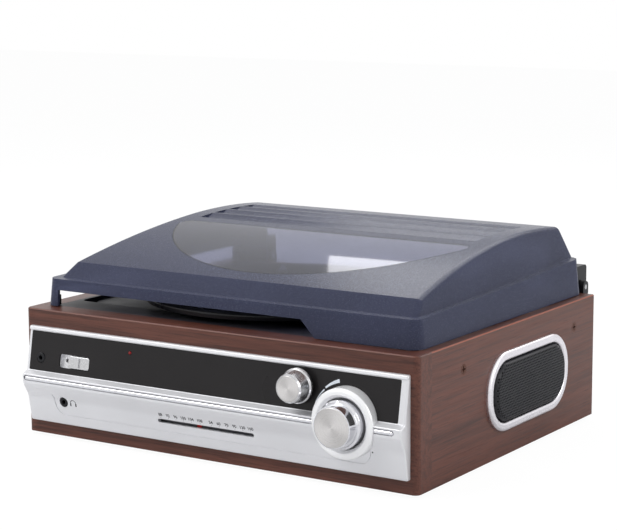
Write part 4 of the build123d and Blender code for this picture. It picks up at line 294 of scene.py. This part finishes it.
materials = {
    "front_wood": wood("front_wood", "X"),
    "side_wood": wood("side_wood", "Y"),
    "board": board("board"),
    "silver": moulding("silver", srgb(226, 226, 229), 0.36, 3200, 0.08, 0.0, 0.45, 0.03),
    "bezel": moulding("bezel", srgb(250, 250, 251), 0.3, 3200, 0.05, 0.0, 0.35, 0.02),
    "panel_black": moulding("panel_black", srgb(34, 32, 33), 0.30, 1800, 0.03, 0.0, 0.0, 0.1),
    "chrome": metal("chrome", srgb(226, 226, 230), 0.07, (300, 300, 300)),
    "satin_chrome": metal("satin_chrome", srgb(232, 229, 234), 0.3),
    "tuning_face": spun("tuning_face", TUNING, srgb(222, 219, 218)),
    "volume_face": spun("volume_face", VOLUME, srgb(222, 219, 218)),
    "cover": smoked("cover", srgb(80, 84, 108), 0.42, 0.24, 0.6, 0.06)[0].material,
    "window": window_pane(),
    "led": power_lamp(),
    "deck": moulding("deck", srgb(46, 46, 52), 0.42, 2200, 0.2),
    "black": moulding("black", srgb(30, 30, 33), 0.4, 2400, 0.2),
    "platter_rim": moulding("platter_rim", srgb(34, 34, 38), 0.28, 1800, 0.1, 0.2),
    "rubber": moulding("rubber", srgb(26, 26, 27), 0.75, 1500, 0.4),
    "green": moulding("green", srgb(34, 92, 54), 0.4, 900, 0.1),
    "steel": metal("steel", srgb(176, 176, 178), 0.3),
    "brass": metal("brass", srgb(196, 164, 96), 0.25),
    "copper": metal("copper", srgb(96, 62, 50), 0.4),
    "satin_knob": metal("satin_knob", srgb(206, 206, 208), 0.24, (500, 1600, 500)),
    "slot_grey": moulding("slot_grey", srgb(104, 104, 108), 0.5, 1800, 0.1),
    "red": moulding("red", srgb(196, 34, 26), 0.35, 1600, 0.05),
    "cone": moulding("cone", srgb(36, 36, 38), 0.85, 1200, 0.6),
    "grille": moulding("grille", srgb(38, 38, 42), 0.42, 2200, 0.15),
    "white_print": moulding("white_print", srgb(226, 232, 240), 0.5, 2500, 0.05),
    "dark_print": moulding("dark_print", srgb(40, 40, 44), 0.5, 2500, 0.05),
}

looks = {
    "front_board": "front_wood", "side_boards": "side_wood", "back_board": "board",
    "base_board": "board", "glue_blocks": "board", "feet": "rubber", "side_screws": "copper",
    "inner_screws": "steel", "fascia": "silver", "fascia_plate": "panel_black",
    "trim_strip": "chrome", "volume_bezel": "bezel", "volume_pot": "steel",
    "volume_knob": "chrome", "tuning_knob": "satin_knob", "volume_knob_cap": "volume_face",
    "tuning_knob_cap": "tuning_face", "selector_slider": "satin_knob", "slide_switches": "black",
    "jacks": "black", "power_led": "led", "control_board": "green",
    "dial_backing": "slot_grey", "dial_rail": "steel",
    "dial_pointer": "red", "tuning_drum": "black", "tuning_capacitor": "black",
    "deck_plate": "deck", "bearing_bush": "brass", "spindle": "steel",
    "platter": "platter_rim", "platter_mat": "rubber", "motor": "steel",
    "motor_grommets": "rubber", "motor_pulley": "brass", "drive_belt": "rubber",
    "arm_base": "black", "arm_turret": "black", "arm_tube": "black", "counterweight": "steel",
    "cartridge": "black", "stylus": "red", "arm_rest": "black", "speed_lever": "black",
    "lid_shell": "cover", "lid_window": "window", "lid_bumpers": "rubber",
    "hinge_bases": "black", "hinge_pins": "steel", "hinge_arms": "black",
    "hinge_screws": "steel", "speaker_rings": "satin_chrome", "speaker_grilles": "grille",
    "speaker_drivers": "black", "speaker_cones": "cone", "rear_socket_plate": "black",
    "line_out_sockets": "brass", "cord_glands": "rubber", "main_board": "green",
    "transformer": "steel",
}


def dress(obj, material):
    """Gives an object one material in every slot."""
    if not obj.material_slots:
        obj.data.materials.append(material)
    for slot in obj.material_slots:
        slot.material = material


for node_name, look in looks.items():
    dress(nodes[node_name], materials[look])


def new_object(name, mesh, material, body):
    """A finished piece: linked, dressed and riding on its body."""
    obj = bpy.data.objects.new(name, mesh)
    bpy.context.scene.collection.objects.link(obj)
    dress(obj, materials[material])
    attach(obj, body)
    return obj


# Perforated speaker grilles in place of the plain domes
RING_BORE = (0.1161, 0.0457)
GRILLE_PITCH = 2.3 * MM
GRILLE_HOLE = 0.78 * MM
GRILLE_MIDDLE = (FRONT + 0.163, 0.0522)
GRILLE_DOME = 5.2 * MM
GRILLE_SHOULDER = 5.0 * MM


def grille_inset(y, z):
    """How far a point lies inside the grille's rounded outline, in metres."""
    round_radius = RING_BORE[1] / 2 - 0.002
    dy = max(abs(y) - (RING_BORE[0] / 2 - round_radius), 0)
    dz = max(abs(z) - (RING_BORE[1] / 2 - round_radius), 0)
    return round_radius - math.hypot(dy, dz)


def grille_height(y, z):
    inset = max(min(grille_inset(y, z) / GRILLE_SHOULDER, 1.0), 0.0)
    return GRILLE_DOME * math.sqrt(max(1 - (1 - inset) ** 2, 0.0))


def grille_mesh():
    body = bmesh.new()
    row_step = GRILLE_PITCH * math.sqrt(3) / 2
    rows = int(RING_BORE[1] / row_step / 2) + 2
    columns = int(RING_BORE[0] / GRILLE_PITCH / 2) + 2
    cell = GRILLE_PITCH / math.sqrt(3)
    for side in (-1, 1):
        cache = {}

        def vertex(y, z):
            key = (round(y * 1e6), round(z * 1e6))
            if key not in cache:
                place = (side * (HALF + grille_height(y, z)), GRILLE_MIDDLE[0] + y,
                         GRILLE_MIDDLE[1] + z)
                cache[key] = body.verts.new(place)
            return cache[key]

        for row in range(-rows, rows + 1):
            for column in range(-columns, columns + 1):
                y = (column + 0.5 * (row % 2)) * GRILLE_PITCH
                z = row * row_step
                inset = grille_inset(y, z)
                if inset < -0.2 * MM:
                    continue
                outer = []
                inner = []
                for corner in range(6):
                    angle = math.radians(60 * corner + 30)
                    outer.append(vertex(y + cell * math.cos(angle), z + cell * math.sin(angle)))
                    inner.append((y + GRILLE_HOLE * math.cos(angle),
                                  z + GRILLE_HOLE * math.sin(angle)))
                if inset < 2.2 * MM:
                    face = outer if side > 0 else outer[::-1]
                    body.faces.new(face)
                    continue
                hole = [vertex(*point) for point in inner]
                for corner in range(6):
                    after = (corner + 1) % 6
                    face = [outer[corner], outer[after], hole[after], hole[corner]]
                    body.faces.new(face if side > 0 else face[::-1])
    mesh = bpy.data.meshes.new("grille_sheet")
    body.to_mesh(mesh)
    body.free()
    for polygon in mesh.polygons:
        polygon.use_smooth = True
    return mesh


grille = new_object("perforated_grilles", grille_mesh(), "grille", "cabinet")
thick = grille.modifiers.new("sheet", "SOLIDIFY")
thick.thickness = 0.6 * MM
thick.offset = -1
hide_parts("speaker_grilles")

# Prints: thin films laid on the surface behind them, found by looking along Y
PRINT_THICK = 0.06 * MM
NUMBER_LINE = 33.2 * MM
NUMBER_HEIGHT = 2.5 * MM
TICK_FOOT = 31.6 * MM
TICK_TOP = 32.5 * MM
TICK_HALF = 0.12 * MM


def surface_tree(*names):
    depsgraph = bpy.context.evaluated_depsgraph_get()
    trees = [BVHTree.FromObject(nodes[name], depsgraph) for name in names]

    def front_of(x, z):
        """The foremost surface at x and z, as a Y value."""
        hits = [tree.ray_cast(Vector((x, FRONT - 0.1, z)), Vector((0, 1, 0)))[0] for tree in trees]
        return min(hit.y for hit in hits if hit is not None)

    return front_of


def laid(name, outlines, material, front_of):
    """Flat outlines in X and Z, each cut fine, laid on the surface as a thin film."""
    body = bmesh.new()
    for outline in outlines:
        points = [body.verts.new((x, 0, z)) for x, z in outline]
        body.faces.new(points)
    bmesh.ops.triangulate(body, faces=body.faces[:])
    for _ in range(2):
        long = [edge for edge in body.edges if edge.calc_length() > 1.2 * MM]
        if long:
            bmesh.ops.subdivide_edges(body, edges=long, cuts=1)
            bmesh.ops.triangulate(body, faces=body.faces[:])
    for vert in body.verts:
        vert.co.y = front_of(vert.co.x, vert.co.z) - PRINT_THICK / 2
    mesh = bpy.data.meshes.new(name)
    body.to_mesh(mesh)
    body.free()
    return new_object(name, mesh, material, "cabinet")


def printed_text(name, words, material, front_of):
    """Generic characters set flat, then laid on the surface. words: (text, x, z, height)."""
    body = bmesh.new()
    for text, x, z, height in words:
        curve = bpy.data.curves.new(name, "FONT")
        curve.body = text
        curve.size = height * 1.38
        curve.align_x = "CENTER"
        curve.resolution_u = 3
        curve.offset = 0.00006
        writer = bpy.data.objects.new(name, curve)
        bpy.context.scene.collection.objects.link(writer)
        bpy.context.view_layer.update()
        flat = bpy.data.meshes.new_from_object(
            writer.evaluated_get(bpy.context.evaluated_depsgraph_get()))
        flat.transform(Matrix(((1, 0, 0, x), (0, 0, 1, 0), (0, 1, 0, z), (0, 0, 0, 1))))
        body.from_mesh(flat)
        bpy.data.objects.remove(writer)
        bpy.data.curves.remove(curve)
        bpy.data.meshes.remove(flat)
    for vert in body.verts:
        vert.co.y = front_of(vert.co.x, vert.co.z) - PRINT_THICK / 2
    mesh = bpy.data.meshes.new(name)
    body.to_mesh(mesh)
    body.free()
    return new_object(name, mesh, material, "cabinet")


def arc_band(centre, radius, start, end, width_start, width_end, steps=14):
    """A band along an arc that widens from one end to the other, as one outline."""
    outer, inner = [], []
    for step in range(steps + 1):
        share = step / steps
        angle = math.radians(start + (end - start) * share)
        half = (width_start + (width_end - width_start) * share) / 2
        outer.append((centre[0] + (radius + half) * math.cos(angle),
                      centre[1] + (radius + half) * math.sin(angle)))
        inner.append((centre[0] + (radius - half) * math.cos(angle),
                      centre[1] + (radius - half) * math.sin(angle)))
    return [[outer[i], outer[i + 1], inner[i + 1], inner[i]] for i in range(steps)]


def disc(x, z, radius, steps=16):
    return [(x + radius * math.cos(2 * math.pi * k / steps),
             z + radius * math.sin(2 * math.pi * k / steps)) for k in range(steps)]


panel = surface_tree("fascia")
face = surface_tree("fascia", "fascia_plate")
volume_centre = (VOLUME.x, VOLUME.z)
wedge = (arc_band(volume_centre, 28.4 * MM, 158, 134, 0.4 * MM, 1.0 * MM)
         + arc_band(volume_centre, 28.8 * MM, 131, 106, 1.3 * MM, 2.6 * MM))
laid("volume_wedge", wedge, "white_print", face)
phones = (-0.1240, 0.0318)
symbol = (arc_band(phones, 2.5 * MM, 0, 180, 0.5 * MM, 0.5 * MM)
          + [[(phones[0] + side * 2.5 * MM - 0.6 * MM, phones[1] - 2.4 * MM),
              (phones[0] + side * 2.5 * MM + 0.6 * MM, phones[1] - 2.4 * MM),
              (phones[0] + side * 2.5 * MM + 0.6 * MM, phones[1]),
              (phones[0] + side * 2.5 * MM - 0.6 * MM, phones[1])] for side in (-1, 1)])
laid("headphone_symbol", symbol, "dark_print", panel)
dots = [disc(VOLUME.x + 28 * MM * math.cos(math.radians(a)),
             VOLUME.z + 28 * MM * math.sin(math.radians(a)), 0.6 * MM) for a in (222, 318)]
laid("volume_dots", dots, "dark_print", panel)
low_band = list(zip((88, 92, 96, 100, 104, 108), (-40, -33, -26, -19, -12, -4)))
high_band = list(zip((54, 60, 70, 90, 120, 160), (6, 13, 20, 27, 34, 41)))
words = [(str(number), x * MM, NUMBER_LINE, NUMBER_HEIGHT) for number, x in low_band + high_band]
printed_text("dial_numbers", words, "dark_print", panel)
ticks = [[(x * MM - TICK_HALF, TICK_FOOT), (x * MM + TICK_HALF, TICK_FOOT),
          (x * MM + TICK_HALF, TICK_TOP), (x * MM - TICK_HALF, TICK_TOP)]
         for _, x in low_band + high_band]
laid("dial_ticks", ticks, "dark_print", panel)

def ray_mix(holder, output_kind):
    """Gives a floor or world an empty tree, a light path, and a mixer that feeds its output."""
    holder.use_nodes = True
    nodes_here = holder.node_tree.nodes
    nodes_here.clear()
    out = nodes_here.new(output_kind)
    blend = nodes_here.new("ShaderNodeMixShader")
    holder.node_tree.links.new(blend.outputs[0], out.inputs["Surface"])
    return holder.node_tree, blend, nodes_here.new("ShaderNodeLightPath")


# Stage: pale floor, white surround, soft lamps
floor_mesh = bpy.data.meshes.new("floor")
floor_mesh.from_pydata([(-4, -4, 0), (4, -4, 0), (4, 4, 0), (-4, 4, 0)], [], [(0, 1, 2, 3)])
floor = bpy.data.objects.new("floor", floor_mesh)
bpy.context.scene.collection.objects.link(floor)
floor_look = bpy.data.materials.new("floor")
tree, mixer, path = ray_mix(floor_look, "ShaderNodeOutputMaterial")
plain = tree.nodes.new("ShaderNodeBsdfDiffuse")
plain.inputs["Color"].default_value = (0.86, 0.86, 0.86, 1)
glow = tree.nodes.new("ShaderNodeEmission")
glow.inputs["Strength"].default_value = 1.03
share = tree.nodes.new("ShaderNodeMath")
share.operation = "MULTIPLY"
share.inputs[1].default_value = 0.93
tree.links.new(path.outputs["Is Camera Ray"], share.inputs[0])
tree.links.new(share.outputs[0], mixer.inputs[0])
tree.links.new(plain.outputs[0], mixer.inputs[1])
tree.links.new(glow.outputs[0], mixer.inputs[2])
floor.data.materials.append(floor_look)

world = bpy.data.worlds.new("studio")
bpy.context.scene.world = world
tree, mixer, path = ray_mix(world, "ShaderNodeOutputWorld")
soft = tree.nodes.new("ShaderNodeBackground")
soft.inputs["Color"].default_value = (0.95, 0.97, 1.0, 1)
soft.inputs["Strength"].default_value = 0.42
white = tree.nodes.new("ShaderNodeBackground")
white.inputs["Color"].default_value = (1, 1, 1, 1)
white.inputs["Strength"].default_value = 1.0
either = tree.nodes.new("ShaderNodeMath")
either.operation = "MAXIMUM"
both = tree.nodes.new("ShaderNodeMath")
both.operation = "MAXIMUM"
tree.links.new(path.outputs["Is Camera Ray"], either.inputs[0])
tree.links.new(path.outputs["Is Transmission Ray"], either.inputs[1])
tree.links.new(either.outputs[0], both.inputs[0])
tree.links.new(path.outputs["Is Glossy Ray"], both.inputs[1])
tree.links.new(both.outputs[0], mixer.inputs[0])
tree.links.new(soft.outputs[0], mixer.inputs[1])
tree.links.new(white.outputs[0], mixer.inputs[2])


def lamp(name, place, aim, size, power):
    light = bpy.data.lights.new(name, "AREA")
    light.shape = "RECTANGLE"
    light.size, light.size_y = size
    light.energy = power
    obj = bpy.data.objects.new(name, light)
    obj.location = place
    obj.rotation_euler = (Vector(aim) - Vector(place)).to_track_quat("-Z", "Y").to_euler()
    bpy.context.scene.collection.objects.link(obj)
    return obj


lamp("key", (-0.9, -1.1, 1.5), (0, 0, 0.1), (1.2, 1.0), 22)
lamp("side", (1.7, 0.1, 0.9), (0, 0, 0.05), (1.0, 1.0), 12)
lamp("back", (-0.2, 1.3, 1.3), (0, 0, 0.1), (1.6, 0.8), 14)

# Camera, solved from the photograph's perspective
SENSOR_WIDTH, FOCAL_PIXELS, PHOTO_WIDTH = 36, 1954.0125, 617
CAMERA_PLACE = (0.82137, -1.25796, 0.3796)
YAW, PITCH, ROLL = 0.5789886574, 0.164865865, -0.0052935307
forward = Vector((-math.sin(YAW) * math.cos(PITCH), math.cos(YAW) * math.cos(PITCH),
                  -math.sin(PITCH)))
level = Vector((math.cos(YAW), math.sin(YAW), 0))
upward = level.cross(forward)
right = math.cos(ROLL) * level + math.sin(ROLL) * upward
up = -math.sin(ROLL) * level + math.cos(ROLL) * upward
camera_data = bpy.data.cameras.new("camera")
camera_data.lens = SENSOR_WIDTH * FOCAL_PIXELS / PHOTO_WIDTH
camera = bpy.data.objects.new("camera", camera_data)
turn = Matrix((right, up, -forward)).transposed().to_4x4()
camera.matrix_world = Matrix.Translation(CAMERA_PLACE) @ turn
bpy.context.scene.collection.objects.link(camera)
bpy.context.scene.camera = camera
bpy.context.scene.view_settings.view_transform = "Standard"
